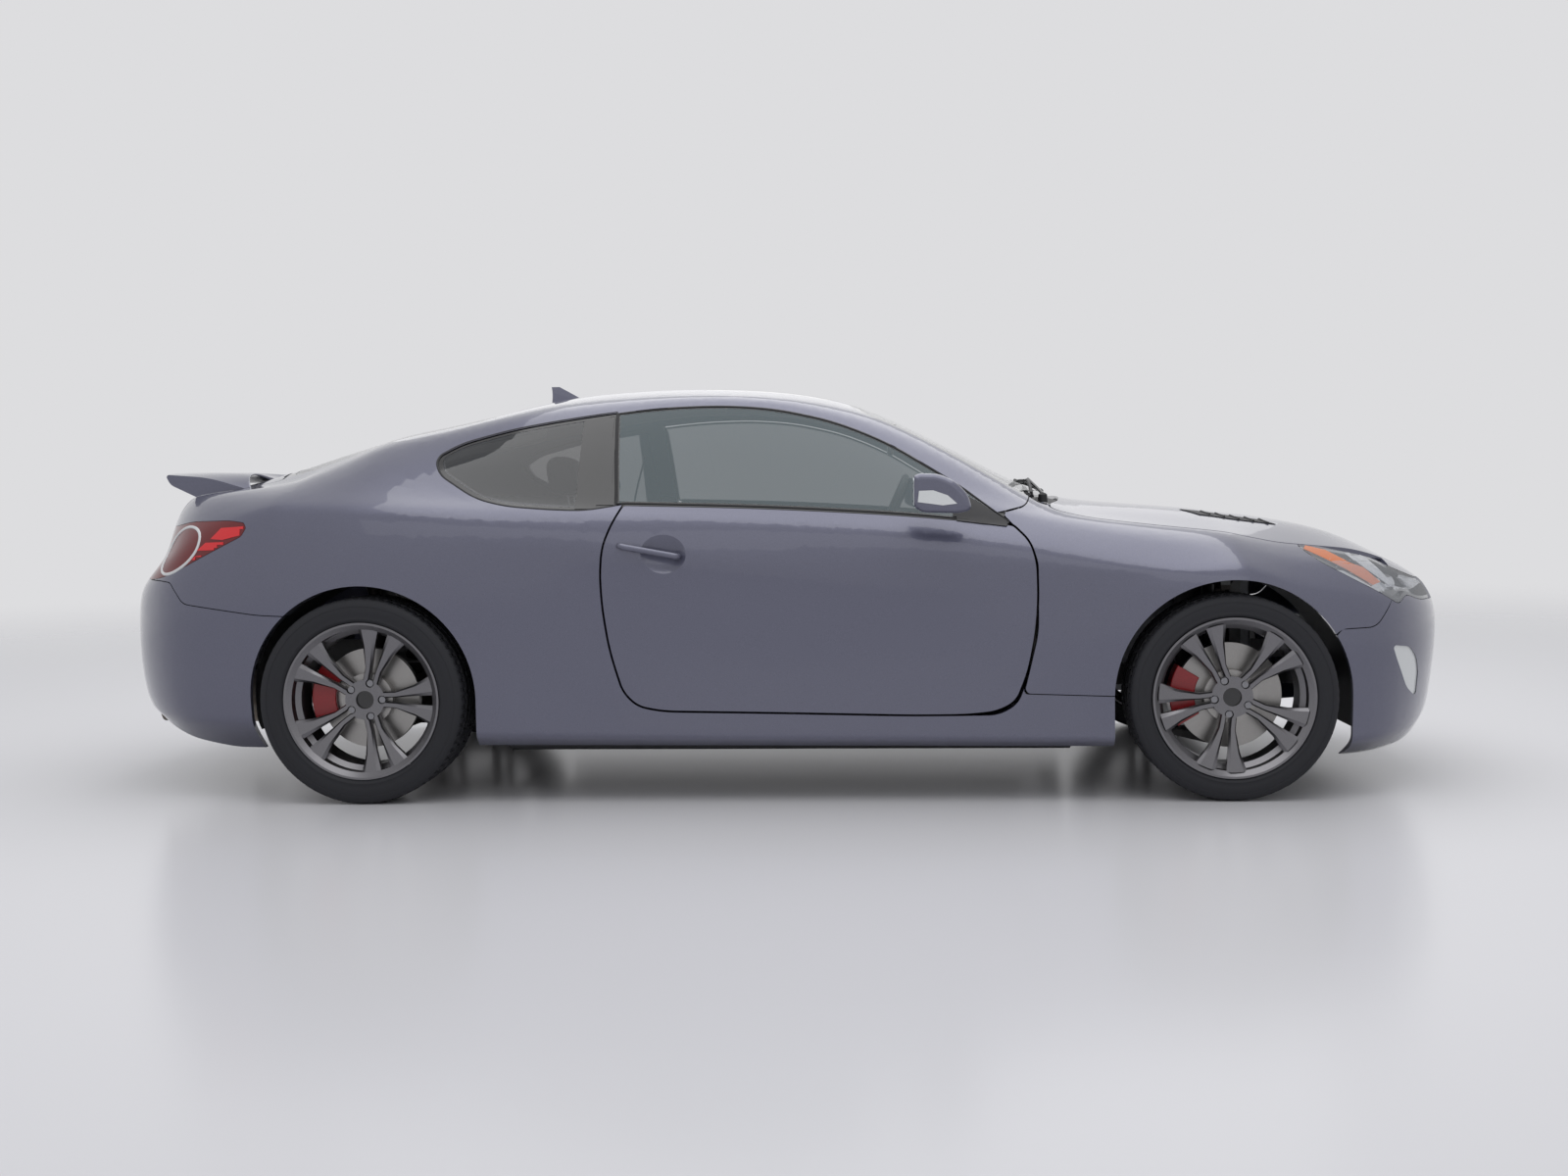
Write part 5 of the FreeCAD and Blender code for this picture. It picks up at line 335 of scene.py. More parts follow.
# mesh helpers
def new_piece(name, bm, finishes, body, smooth_deg=None):
    """A finished piece from a bmesh, riding on a body."""
    mesh = bpy.data.meshes.new(name)
    if smooth_deg is not None:
        limit = math.radians(smooth_deg)
        for face in bm.faces:
            face.smooth = True
        for edge in bm.edges:
            edge.smooth = edge.calc_face_angle(0.0) < limit
    bm.to_mesh(mesh)
    bm.free()
    piece = bpy.data.objects.new(name, mesh)
    bpy.context.scene.collection.objects.link(piece)
    for finish in finishes if isinstance(finishes, (list, tuple)) else [finishes]:
        mesh.materials.append(finish)
    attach(piece, body)
    return piece


def even_normals(piece):
    """Normals weighted by face size, so large panels read as smooth."""
    modifier = piece.modifiers.new("even_normals", "WEIGHTED_NORMAL")
    modifier.mode = "FACE_AREA"
    modifier.keep_sharp = True
    return piece


def merged(node):
    """A CAD node's mesh with its loose triangles joined."""
    bm = bmesh.new()
    bm.from_mesh(NODES[node].data)
    bmesh.ops.remove_doubles(bm, verts=bm.verts, dist=0.00003)
    bmesh.ops.dissolve_degenerate(bm, dist=JOIN_DISTANCE, edges=bm.edges)
    return bm


def body_of(node):
    """The name of the body that a node rides on."""
    for body, empty in frame["bodies"].items():
        if NODES[node].parent == empty:
            return body
    return None


def finished(node, finish, sharp_deg=28, edge_mm=0.0, others=(), keep=None):
    """The node's own shape with joined faces and its finish, or others where their tests say so."""
    bm = merged(node)
    for face in bm.faces:
        for number, (_, test) in enumerate(others, 1):
            if test(face.calc_center_median(), face.normal):
                face.material_index = number
    if keep:
        gone = [f for f in bm.faces if not keep(f.calc_center_median(), f.normal)]
        bmesh.ops.delete(bm, geom=gone, context="FACES")
    finishes = [finish] + [other for other, _ in others]
    piece = new_piece(node + "_surface", bm, finishes, body_of(node), smooth_deg=sharp_deg)
    if edge_mm:
        soft = piece.modifiers.new("soft_edges", "BEVEL")
        soft.width = edge_mm / 1000
        soft.segments = 2
        soft.limit_method = "ANGLE"
        soft.angle_limit = math.radians(35)
    even_normals(piece)
    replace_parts(piece, node)
    return piece


def outer_edge(node, side):
    """The corner points of a side window's outer face, in order round its edge."""
    bm = merged(node)
    outer = [f for f in bm.faces if f.normal.y * side > 0.25]
    points = boundary_loop(bm, outer, side)
    bm.free()
    return points


def boundary_loop(bm, faces, side=0):
    """The longest loop of edges round a set of faces, as (place, inward direction, outward normal)."""
    chosen = set(faces)
    if side:
        chosen = {f for f in chosen if side * f.calc_center_median().y > 0}
    edges = [e for e in bm.edges if sum(1 for f in e.link_faces if f in chosen) == 1]
    links = {}
    for edge in edges:
        for vert in edge.verts:
            links.setdefault(vert, []).append(edge)
    loops = []
    used = set()
    for start in edges:
        if start in used:
            continue
        path = [start.verts[0], start.verts[1]]
        used.add(start)
        while True:
            following = [e for e in links[path[-1]] if e not in used]
            if not following:
                break
            used.add(following[0])
            path.append(following[0].other_vert(path[-1]))
        loops.append(path)
    path = max(loops, key=lambda p: sum((a.co - b.co).length for a, b in zip(p, p[1:])))
    if path[0] == path[-1]:
        path.pop()
    found = []
    count = len(path)
    for i, vert in enumerate(path):
        faces_here = [f for f in vert.link_faces if f in chosen]
        normal = Vector()
        for face in faces_here:
            normal += face.normal * face.calc_area()
        normal.normalize()
        along = path[(i + 1) % count].co - path[i - 1].co
        inward = normal.cross(along).normalized()
        found.append([vert.co.copy(), inward, normal])
    centre = sum((p[0] for p in found), Vector()) / count
    turn = sum(p[1].dot(centre - p[0]) for p in found)
    if turn < 0:
        for p in found:
            p[1].negate()
    return found


def thinned(points, step):
    """The same loop with points no closer than a step."""
    kept = [points[0]]
    for point in points[1:]:
        if (point[0] - kept[-1][0]).length >= step:
            kept.append(point)
    if (kept[-1][0] - kept[0][0]).length < step * 0.5:
        kept.pop()
    return kept


def band(name, loop, width, finish, body):
    """A flat band that runs inside a loop of edge points."""
    bm = bmesh.new()
    lifted = [(p + normal * FACE_LIFT, inward) for p, inward, normal in loop]
    outer = [bm.verts.new(p) for p, _ in lifted]
    edges = [bm.edges.new((a, b)) for a, b in zip(outer, outer[1:] + outer[:1])]
    result = bmesh.ops.extrude_edge_only(bm, edges=edges)
    moved = [v for v in result["geom"] if isinstance(v, bmesh.types.BMVert)]
    nearest = {v: min(lifted, key=lambda p: (p[0] - v.co).length_squared) for v in moved}
    for vert, (_, inward) in nearest.items():
        vert.co += inward * width
    middle_normal = sum((p[2] for p in loop), Vector())
    faces = list(bm.faces)
    if sum(f.normal.dot(middle_normal) for f in faces) == 0:
        bm.normal_update()
    if sum(f.normal.dot(middle_normal) for f in faces) < 0:
        bmesh.ops.reverse_faces(bm, faces=faces)
    return new_piece(name, bm, finish, body, smooth_deg=40)


def strip(name, places, radius, finish, body, closed=False):
    """A round moulding or bar that follows places, made a mesh."""
    curve = bpy.data.curves.new(name, "CURVE")
    curve.dimensions = "3D"
    curve.bevel_depth = radius
    curve.bevel_resolution = 3
    curve.use_fill_caps = True
    spline = curve.splines.new("POLY")
    spline.points.add(len(places) - 1)
    for point, place in zip(spline.points, places):
        point.co = (*place, 1.0)
    spline.use_cyclic_u = closed
    spline.use_smooth = True
    drawn = bpy.data.objects.new(name + "_line", curve)
    bpy.context.scene.collection.objects.link(drawn)
    bpy.context.view_layer.update()
    mesh = bpy.data.meshes.new_from_object(drawn)
    bpy.data.objects.remove(drawn)
    bm = bmesh.new()
    bm.from_mesh(mesh)
    bpy.data.meshes.remove(mesh)
    bmesh.ops.remove_doubles(bm, verts=bm.verts, dist=JOIN_DISTANCE)
    bmesh.ops.recalc_face_normals(bm, faces=bm.faces)
    return new_piece(name, bm, finish, body, smooth_deg=50)


def surface_of(*nodes):
    """A search tree over the faces of these nodes."""
    bm = bmesh.new()
    for node in nodes:
        bm.from_mesh(NODES[node].data)
    tree = BVHTree.FromBMesh(bm)
    bm.free()
    return tree


VIEWS = {
    "right": (Vector((1, 0, 0)), Vector((0, 0, 1)), Vector((0, 1, 0))),
    "left": (Vector((1, 0, 0)), Vector((0, 0, 1)), Vector((0, -1, 0))),
    "front": (Vector((0, 1, 0)), Vector((0, 0, 1)), Vector((-1, 0, 0))),
    "rear": (Vector((0, 1, 0)), Vector((0, 0, 1)), Vector((1, 0, 0))),
    "top": (Vector((1, 0, 0)), Vector((0, 1, 0)), Vector((0, 0, -1))),
}
FAR = 4.0


def laid(tree, point, view, lift):
    """Where a point of a view falls on a surface, lifted towards the eye, or None."""
    across, up, into = VIEWS[view]
    hit = tree.ray_cast(across * point[0] + up * point[1] - into * FAR, into)[0]
    return hit - into * lift if hit else None


def patch(name, tree, outline, view, finish, body, lift=FACE_LIFT, thickness=0.0015, step=0.012):
    """A thin plate that follows a surface within a convex outline."""
    low = [min(p[i] for p in outline) for i in (0, 1)]
    high = [max(p[i] for p in outline) for i in (0, 1)]
    counts = [max(2, math.ceil((h - l) / step)) for l, h in zip(low, high)]
    bm = bmesh.new()
    bmesh.ops.create_grid(bm, x_segments=counts[0], y_segments=counts[1], size=0.5)
    bmesh.ops.scale(bm, vec=(high[0] - low[0], high[1] - low[1], 1), verts=bm.verts)
    bmesh.ops.translate(bm, vec=((low[0] + high[0]) / 2, (low[1] + high[1]) / 2, 0), verts=bm.verts)
    pairs = list(zip(outline, outline[1:] + outline[:1]))
    turn = 1 if sum(a[0] * b[1] - b[0] * a[1] for a, b in pairs) > 0 else -1
    for a, b in pairs:
        bmesh.ops.bisect_plane(
            bm,
            geom=bm.verts[:] + bm.edges[:] + bm.faces[:],
            plane_co=(a[0], a[1], 0),
            plane_no=((b[1] - a[1]) * turn, (a[0] - b[0]) * turn, 0),
            clear_outer=True,
        )
    missed = []
    for vert in bm.verts:
        place = laid(tree, vert.co, view, lift)
        if place:
            vert.co = place
        else:
            missed.append(vert)
    bmesh.ops.delete(bm, geom=missed, context="VERTS")
    into = VIEWS[view][2]
    bm.normal_update()
    if sum(f.normal.dot(into) for f in bm.faces) > 0:
        bmesh.ops.reverse_faces(bm, faces=bm.faces)
    bmesh.ops.solidify(bm, geom=bm.faces[:], thickness=-thickness)
    bmesh.ops.recalc_face_normals(bm, faces=bm.faces)
    return new_piece(name, bm, finish, body, smooth_deg=40)


def laid_strip(name, tree, points, view, radius, finish, body, closed=False, lift=0.0):
    """A bead that lies on a surface along points of a view."""
    places = [laid(tree, point, view, lift) for point in points]
    return strip(name, [p for p in places if p], radius, finish, body, closed)


def smooth_line(points, closed=False):
    """A curve of the same kind through the points, as more points."""
    count = len(points)
    found = []
    for i in range(count if closed else count - 1):
        near = range(i - 1, i + 3)
        around = [k % count if closed else min(max(k, 0), count - 1) for k in near]
        a, b, c, d = (Vector(points[k]) for k in around)
        for k in range(LINE_STEPS):
            t = k / LINE_STEPS
            square, cube = 2 * a - 5 * b + 4 * c - d, 3 * b - a - 3 * c + d
            found.append(0.5 * (2 * b + (c - a) * t + square * t * t + cube * t**3))
    if not closed:
        found.append(Vector(points[-1]))
    return found


def spun(bm, geom, axis, steps, join):
    """A section turned once round an axis through the origin."""
    whole = {"cent": (0, 0, 0), "angle": math.tau, "use_merge": True, "use_duplicate": False}
    bmesh.ops.spin(bm, geom=geom, axis=axis, steps=steps, **whole)
    bmesh.ops.remove_doubles(bm, verts=bm.verts, dist=join)
    bmesh.ops.recalc_face_normals(bm, faces=bm.faces)


def turned(name, profile, centre, axis, finish, body):
    """A solid of revolution from (along, radius) pairs about an axis through centre."""
    bm = bmesh.new()
    verts = [bm.verts.new((radius, 0.0, along)) for along, radius in profile]
    edges = [bm.edges.new(pair) for pair in zip(verts, verts[1:])]
    spun(bm, verts + edges, (0, 0, 1), TURN_STEPS, JOIN_DISTANCE)
    turn = Vector((0, 0, 1)).rotation_difference(Vector(axis)).to_matrix().to_4x4()
    bmesh.ops.transform(bm, matrix=Matrix.Translation(centre) @ turn, verts=bm.verts)
    return new_piece(name, bm, finish, body, smooth_deg=35)


def round_edges(bm, edge):
    """Every edge rounded by the same size."""
    edges = list(bm.edges)
    bmesh.ops.bevel(
        bm, geom=edges, offset=edge, affect="EDGES", segments=3, profile=0.5, material=-1, clamp_overlap=True
    )


def rounded_block(name, low, high, finish, body, edge=0.004, turn=None):
    """A moulded block between two corners with rounded edges."""
    bm = bmesh.new()
    bmesh.ops.create_cube(bm, size=1.0)
    size = [h - l for l, h in zip(low, high)]
    middle = Vector([(l + h) / 2 for l, h in zip(low, high)])
    bmesh.ops.scale(bm, vec=size, verts=bm.verts)
    round_edges(bm, edge)
    if turn:
        bmesh.ops.transform(bm, matrix=turn, verts=bm.verts)
    bmesh.ops.translate(bm, vec=middle, verts=bm.verts)
    return new_piece(name, bm, finish, body, smooth_deg=35)


# tyres: each point's inset from the tyre's side, then its rise from the rim, its share of the wall's height,
# or its drop from the crown
TYRE_BEAD = [(0.016, 0.001), (0.009, 0.004)]
TYRE_WALL = [(0.0045, 0.12), (0.0035, 0.16), (0.0045, 0.2), (0.0022, 0.34), (0.0012, 0.45), (0.0018, 0.58)]
TYRE_WALL += [(0.0026, 0.66), (0.0016, 0.67), (0.0026, 0.76), (0.0062, 0.87)]
TYRE_SHOULDER = [(0.0125, 0.0045), (0.02, 0.0014)]
GROOVE_DEPTH = 0.0068
GROOVE_SHARES = ((0.555, 0.465), (0.155, 0.075))
SIPE_WIDTH = 0.0016
SIPE_DEPTH = 0.0045


def tyre_profile(radius, width):
    """Half a tyre's section from bead to shoulder, as (across, radius)."""
    half = width / 2
    wall = radius - RIM_RADIUS
    section = [(half - inset, RIM_RADIUS + rise) for inset, rise in TYRE_BEAD]
    section += [(half - inset, RIM_RADIUS + wall * share) for inset, share in TYRE_WALL]
    return section + [(half - inset, radius - drop) for inset, drop in TYRE_SHOULDER]


def dressed_tyre(axle, side_name):
    """A tyre with ribs, grooves and shoulder cuts, in place of the plain one."""
    wheel = WHEELS[axle]
    side = SIDES[side_name]
    half = wheel["width"] / 2
    radius = wheel["radius"]
    wall = tyre_profile(radius, wheel["width"])
    floor = radius - GROOVE_DEPTH
    (outer, inner), (near, middle) = GROOVE_SHARES
    tread = [(half * 0.56, radius - 0.0002), (half * outer, floor), (half * inner, floor)]
    tread += [(half * 0.46, radius), (half * 0.16, radius), (half * near, floor), (half * middle, floor)]
    tread.append((half * 0.07, radius))
    half_section = wall + tread
    section = half_section + [(-a, r) for a, r in reversed(half_section)]
    bm = bmesh.new()
    verts = [bm.verts.new((r, a, 0.0)) for a, r in section]
    edges = [bm.edges.new(pair) for pair in zip(verts, verts[1:])]
    edges.append(bm.edges.new((verts[-1], verts[0])))
    spun(bm, verts + edges, (0, 1, 0), TREAD_PITCHES * 2, 2 * JOIN_DISTANCE)
    bm.faces.ensure_lookup_table()
    cuts = []
    for face in bm.faces:
        centre = face.calc_center_median()
        reach = math.hypot(centre.x, centre.z)
        step = int(round(math.atan2(centre.z, centre.x) / math.tau * TREAD_PITCHES * 2 - 0.5))
        shoulder = half * 0.6 < abs(centre.y) < half - 0.006 and reach > radius - 0.006
        inner_rib = half * 0.18 < abs(centre.y) < half * 0.44 and reach > radius - 0.001
        if (shoulder and step % 2 == 0) or (inner_rib and step % 4 == 1):
            cuts.append(face)
    bmesh.ops.inset_individual(bm, faces=cuts, thickness=SIPE_WIDTH, depth=-SIPE_DEPTH, use_even_offset=True)
    bmesh.ops.translate(bm, vec=(wheel["x"], side * wheel["track"] / 2, radius), verts=bm.verts)
    body = f"{axle}_wheel_{side_name}"
    piece = new_piece(f"{axle}_tyre_{side_name}_tread", bm, RUBBER, body, smooth_deg=32)
    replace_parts(piece, f"{axle}_tyre_{side_name}")
    return piece


# panels, glass and lamps
PAINTED = ["hood", "trunk_lid", "roof_panel", "front_bumper", "rear_bumper", "spoiler", "roof_antenna"]
PAINTED += [n + s for n in ("body_side", "front_fender", "door_panel") for s in ("_left", "_right")]


def dress_panels():
    """The painted body, its trim and what shows beneath it."""
    lining = (DASH_SKIN, lambda p, n: n.y * p.y < -0.3 * abs(p.y) and p.z < 1.0)
    for node in PAINTED:
        inside = [lining] if node.startswith(("body_side", "door_panel")) else []
        finished(node, PAINT, others=inside)
    finished("cowl_panel", GRAINED)
    finished("grille", GLOSS)
    finished("rear_diffuser", GRAINED)
    finished("wheel_liners", GRAINED)
    floor = (CARPET, lambda p, n: n.z > 0.7 and p.z < 0.5 and -1.6 < p.x < 0.95)
    finished("body_structure", UNDERBODY, others=[floor])
    finished("roof_frame", HEADLINER)
    finished("dashboard", DASH_SKIN, edge_mm=6)
    finished("steering_wheel", LEATHER)
    finished("engine_block", ALUMINIUM, edge_mm=8)
    finished("radiator", ALUMINIUM, edge_mm=3)
    finished("driveshaft", STEEL)
    finished("exhaust", EXHAUST_STEEL)
    finished("front_suspension", UNDERBODY)
    finished("rear_suspension", CAST_IRON)


# outlines seen from the side, as (x, z)
MIRROR_SAIL = [(0.600, 0.905), (0.600, 1.005), (0.640, 0.990), (0.700, 0.953), (0.786, 0.893)]
MIRROR_SAIL += [(0.770, 0.884)]
PILLAR_COVER = [(-0.630, 0.957), (-0.503, 0.957), (-0.503, 1.262), (-0.560, 1.262), (-0.630, 1.250)]


def pane(node, finish):
    """A pane's outer face and its ground edge, without its inner face: one face carries the tint."""
    tree = surface_of(node)

    def outer(place, normal):
        away = tree.ray_cast(place + normal * 0.0002, normal, 0.05)[0]
        inside = normal.y * place.y < -0.01 or normal.z < -0.3
        return not inside and away is None

    edge = (PANE_EDGE, lambda p, n: abs(n.y) < 0.3 and n.z < 0.3)
    return finished(node, finish, others=[edge], keep=outer)


def dress_glass():
    """Panes, their black borders, seals and covers."""
    for name in SIDES:
        pane("door_glass_" + name, SIDE_GLASS)
    pane("quarter_glass", REAR_GLASS)
    pane("windshield", SCREEN_GLASS)
    pane("rear_glass", REAR_GLASS)
    pane("sunroof_glass", ROOF_GLASS)
    for name, side in SIDES.items():
        for node, body, label in (
            ("door_glass_" + name, "door_" + name, "door_glass_border_" + name),
            ("quarter_glass", "body", "quarter_glass_border_" + name),
        ):
            loop = thinned(outer_edge(node, side), 0.008)
            band(label, loop, 0.018 if node == "quarter_glass" else 0.006, GLOSS, body)
            places = [p + inward * -0.001 + normal * 0.001 for p, inward, normal in loop]
            if node == "quarter_glass":
                strip("quarter_glass_seal_" + name, places, 0.0045, SEAL, body, closed=True)
            else:
                strip("door_glass_seal_" + name, places, 0.0028, SEAL, body, closed=True)
        glass = surface_of("door_glass_" + name, "door_panel_" + name)
        patch("mirror_sail_" + name, glass, MIRROR_SAIL, name, GRAINED, "door_" + name, thickness=0.003)
        quarter = surface_of("quarter_glass")
        patch("pillar_cover_" + name, quarter, PILLAR_COVER, name, GLOSS, "body", thickness=0.002)
    for node in ("windshield", "rear_glass"):
        bm = merged(node)
        top = [f for f in bm.faces if f.normal.z > 0.2]
        loop = thinned(boundary_loop(bm, top), 0.01)
        bm.free()
        band(node + "_border", loop, 0.03, GLOSS, "body")


AMBER_SHAPES = (
    [(1.746, 0.797), (1.761, 0.806), (1.821, 0.791), (1.882, 0.751), (1.851, 0.738)],
    [(1.851, 0.738), (1.882, 0.751), (1.923, 0.736), (1.972, 0.690), (1.940, 0.682)],
)
SILVER_SHAPES = (
    [(1.880, 0.783), (1.905, 0.790), (1.957, 0.764), (1.962, 0.752), (1.900, 0.757)],
    [(1.905, 0.755), (1.962, 0.752), (2.012, 0.690), (1.998, 0.680), (1.936, 0.727)],
)
RED_BARS = (
    [(-1.840, 0.874), (-1.803, 0.910), (-1.673, 0.918), (-1.714, 0.890), (-1.795, 0.871)],
    [(-1.890, 0.836), (-1.858, 0.862), (-1.769, 0.865), (-1.801, 0.839)],
    [(-1.942, 0.775), (-1.897, 0.817), (-1.836, 0.826), (-1.891, 0.791)],
)
LAMP_RING = [(-1.905, 0.905), (-1.885, 0.880), (-1.893, 0.838), (-1.930, 0.795), (-1.985, 0.764)]
LAMP_RING += [(-2.030, 0.757), (-2.052, 0.775), (-2.048, 0.822), (-2.028, 0.868), (-1.990, 0.900)]
LAMP_RING += [(-1.945, 0.913)]


def dress_lamps():
    """Head, tail and fog lamps with what shines inside them."""
    finished("headlamp_lenses", CLEAR_LENS, keep=lambda p, n: n.x > -0.2 and n.y * p.y > -0.01)
    bowls = (CHROME, lambda p, n: 0.66 < p.z < 0.76 and abs(n.z) < 0.75)
    finished("headlamp_units", GLOSS, others=[bowls])
    finished("tail_lamps", RED_SHELL)
    finished("fog_lamps", WHITE_LENS)
    lens, tail = surface_of("headlamp_lenses"), surface_of("tail_lamps")
    for name in SIDES:
        for label, shapes, finish in (
            ("side_marker", AMBER_SHAPES, AMBER_LENS),
            ("headlamp_trim", SILVER_SHAPES, CHROME),
        ):
            for number, shape in enumerate(shapes):
                inside = {"lift": -0.004, "thickness": 0.002}
                patch(f"{label}_{number}_{name}", lens, shape, name, finish, "body", **inside)
        for number, shape in enumerate(RED_BARS):
            patch(f"tail_bar_{number}_{name}", tail, shape, name, RED_LENS, "body", thickness=0.0012)
        ring = smooth_line(LAMP_RING, closed=True)
        laid_strip("tail_ring_" + name, tail, ring, name, 0.0055, WHITE_LENS, "body", True, lift=-0.002)


def hub_finishes(wheel):
    """Plated nuts and a black cap on a wheel."""
    centre = Vector((wheel["x"], 0, wheel["radius"]))
    nuts = [
        centre + Vector((math.sin(angle), 0, math.cos(angle))) * LUG_CIRCLE_RADIUS
        for angle in (math.tau * k / 5 + math.radians(wheel["nut_turn_deg"]) for k in range(5))
    ]

    def reach(place, middle):
        return math.hypot(place.x - middle.x, place.z - middle.z)

    cap = (GLOSS, lambda p, n: reach(p, centre) < HUB_CAP_RADIUS)
    return [cap, (STEEL, lambda p, n: min(reach(p, nut) for nut in nuts) < LUG_NUT_RADIUS)]


def dress_wheels():
    """Tyres, rims, discs and calipers."""
    for axle in WHEELS:
        wheel = WHEELS[axle]
        disc_finish = turned_metal(
            "iron_turned_" + axle, "8b8987", "a5a3a1", 0.32, (wheel["x"], wheel["radius"])
        )
        for name in SIDES:
            dressed_tyre(axle, name)
            finished(f"{axle}_rim_{name}", GUNMETAL, sharp_deg=24, others=hub_finishes(wheel))
            finished(f"{axle}_disc_{name}", disc_finish)
    for name in SIDES:
        finished("front_caliper_" + name, CALIPER_RED, edge_mm=3)
        finished("front_knuckle_" + name, CAST_IRON)
    finished("rear_calipers", CALIPER_RED, edge_mm=3)


# the turn lamp seen from the side, as (x, z), and the mirror's face seen from behind, as (y, z)
TURN_LAMP = [(0.482, 0.968), (0.486, 1.003), (0.530, 1.004), (0.575, 0.988), (0.604, 0.962), (0.560, 0.957)]
MIRROR_FACE = [(0.940, 0.950), (1.026, 0.950), (1.033, 0.975), (1.030, 1.035), (1.015, 1.044)]
MIRROR_FACE += [(0.945, 1.040)]


def dress_mirrors():
    """Door mirrors with their lamps and glass."""
    for name, side in SIDES.items():
        body = "door_" + name
        foot = (GRAINED, lambda p, n: abs(p.y) < 0.945 and p.z < 0.955)
        finished("door_mirror_" + name, PAINT, others=[foot])
        cap = surface_of("door_mirror_" + name)
        patch("turn_lamp_" + name, cap, TURN_LAMP, name, WHITE_LENS, body)
        face = [(y * side, z) for y, z in MIRROR_FACE]
        patch("mirror_glass_" + name, cap, face, "rear", MIRROR, body)


# each wiper's pivot, as (x, y), and where its blade starts and ends across the car
WIPERS = {"right": ((0.920, -0.50), -0.58, -0.02), "left": ((0.965, 0.10), 0.02, 0.56)}
WIPER_PIVOT = [(0, 0), (0, 0.017), (0.026, 0.015), (0.032, 0.008), (0.032, 0)]
VENT_SLATS = 5
FLAP_CENTRE = (-1.43, 0.815)
FLAP_RADIUS = 0.078
FLAP_POINTS = 40
HIGH_LAMP = [(-0.17, 1.091), (0.17, 1.091), (0.17, 1.103), (-0.17, 1.103)]


def dress_wipers():
    """Two wipers laid on the windshield."""
    screen = surface_of("windshield", "cowl_panel", "hood")
    for name, (pivot, near, far) in WIPERS.items():
        across = [near + (far - near) * t for t in (0, 0.25, 0.5, 0.75, 1)]
        blade = [laid(screen, (0.905 - 0.05 * abs(y), y), "top", 0.016) for y in across]
        strip("wiper_blade_" + name, blade, 0.006, SEAL, "body")
        spine = [p + Vector((-0.002, 0, 0.010)) for p in blade]
        strip("wiper_spine_" + name, spine, 0.0045, GRAINED, "body")
        middle = spine[2]
        post = laid(screen, pivot, "top", 0.0)
        over = ((post, 0.028), (post.lerp(middle, 0.35), 0.022), (middle, 0.006))
        arm = [place + Vector((0, 0, rise)) for place, rise in over]
        strip("wiper_arm_" + name, arm, 0.006, GLOSS, "body")
        turned("wiper_pivot_" + name, WIPER_PIVOT, post, (0, 0, 1), GRAINED, "body")


def dress_trim():
    """Wipers, hood vents, fuel flap and high brake lamp."""
    dress_wipers()
    bonnet = surface_of("hood")
    for name, side in SIDES.items():
        vent = [(1.42, 0.285 * side), (1.70, 0.315 * side), (1.735, 0.37 * side), (1.47, 0.40 * side)]
        patch("hood_vent_" + name, bonnet, vent, "top", GRAINED, "hood", thickness=0.002)
        for number in range(VENT_SLATS):
            x = 1.49 + 0.05 * number
            slat = [(x, (0.305 + 0.02 * (x - 1.42)) * side), (x + 0.018, 0.375 * side)]
            label = f"hood_vent_slat_{number}_{name}"
            laid_strip(label, bonnet, slat, "top", 0.004, SEAL, "hood", lift=0.003)
    quarter = surface_of("body_side_left")
    turns = [math.tau * k / FLAP_POINTS for k in range(FLAP_POINTS)]
    x, z = FLAP_CENTRE
    flap = [(x + FLAP_RADIUS * math.cos(a), z + FLAP_RADIUS * math.sin(a)) for a in turns]
    laid_strip("fuel_flap_gap", quarter, flap, "left", 0.0016, SEAL, "body", True)
    wing = surface_of("spoiler")
    patch("high_brake_lamp", wing, HIGH_LAMP, "rear", RED_LENS, "trunk_lid", step=0.006)


# seats: side outlines as (x, z)
SEAT_Y = 0.386
SQUAB = [(-0.489, 0.305), (-0.489, 0.405), (-0.362, 0.440), (-0.080, 0.454), (0.040, 0.472)]
SQUAB += [(0.072, 0.430), (0.052, 0.305)]
BACKREST = [(-0.520, 0.455), (-0.730, 0.831), (-0.758, 0.968), (-0.700, 0.980), (-0.608, 0.962)]
BACKREST += [(-0.500, 0.776), (-0.362, 0.480), (-0.404, 0.432)]
HEADREST = [(-0.784, 1.010), (-0.799, 1.124), (-0.756, 1.143), (-0.706, 1.122), (-0.680, 1.016)]
HEADREST += [(-0.729, 1.003)]
HEADREST_TOP = 1.03
HEADREST_POST = ((-0.722, 0.93), (-0.736, HEADREST_TOP))
PUFF_FRAMES = 20
PUFF_PRESSURE = 4.0
PAD_VOXEL = 0.009
HEADREST_VOXEL = 0.006
SEAM_DEPTH = 0.006
SEAM_REACH = 0.009
FRONT_SQUAB_WIDTH = 0.475
FRONT_BACK_WIDTH = 0.455
HEADREST_WIDTH = 0.235
REAR_PAD_WIDTH = 0.43
REAR_SEAT_Y = 0.232


def pad_body(outline, width, edge):
    """A closed block from its side outline, centred on the car's middle, with rounded edges."""
    bm = bmesh.new()
    verts = [bm.verts.new((x, -width / 2, z)) for x, z in outline]
    face = bmesh.ops.contextual_create(bm, geom=verts)["faces"][0]
    moved = bmesh.ops.extrude_face_region(bm, geom=[face])["geom"]
    bmesh.ops.translate(bm, vec=(0, width, 0), verts=[v for v in moved if isinstance(v, bmesh.types.BMVert)])
    bmesh.ops.recalc_face_normals(bm, faces=bm.faces)
    round_edges(bm, edge)
    return bm


def evaluated_mesh(piece):
    """The piece's mesh with its modifiers applied, as a new mesh."""
    graph = bpy.context.evaluated_depsgraph_get()
    graph.update()
    return bpy.data.meshes.new_from_object(piece.evaluated_get(graph), depsgraph=graph)


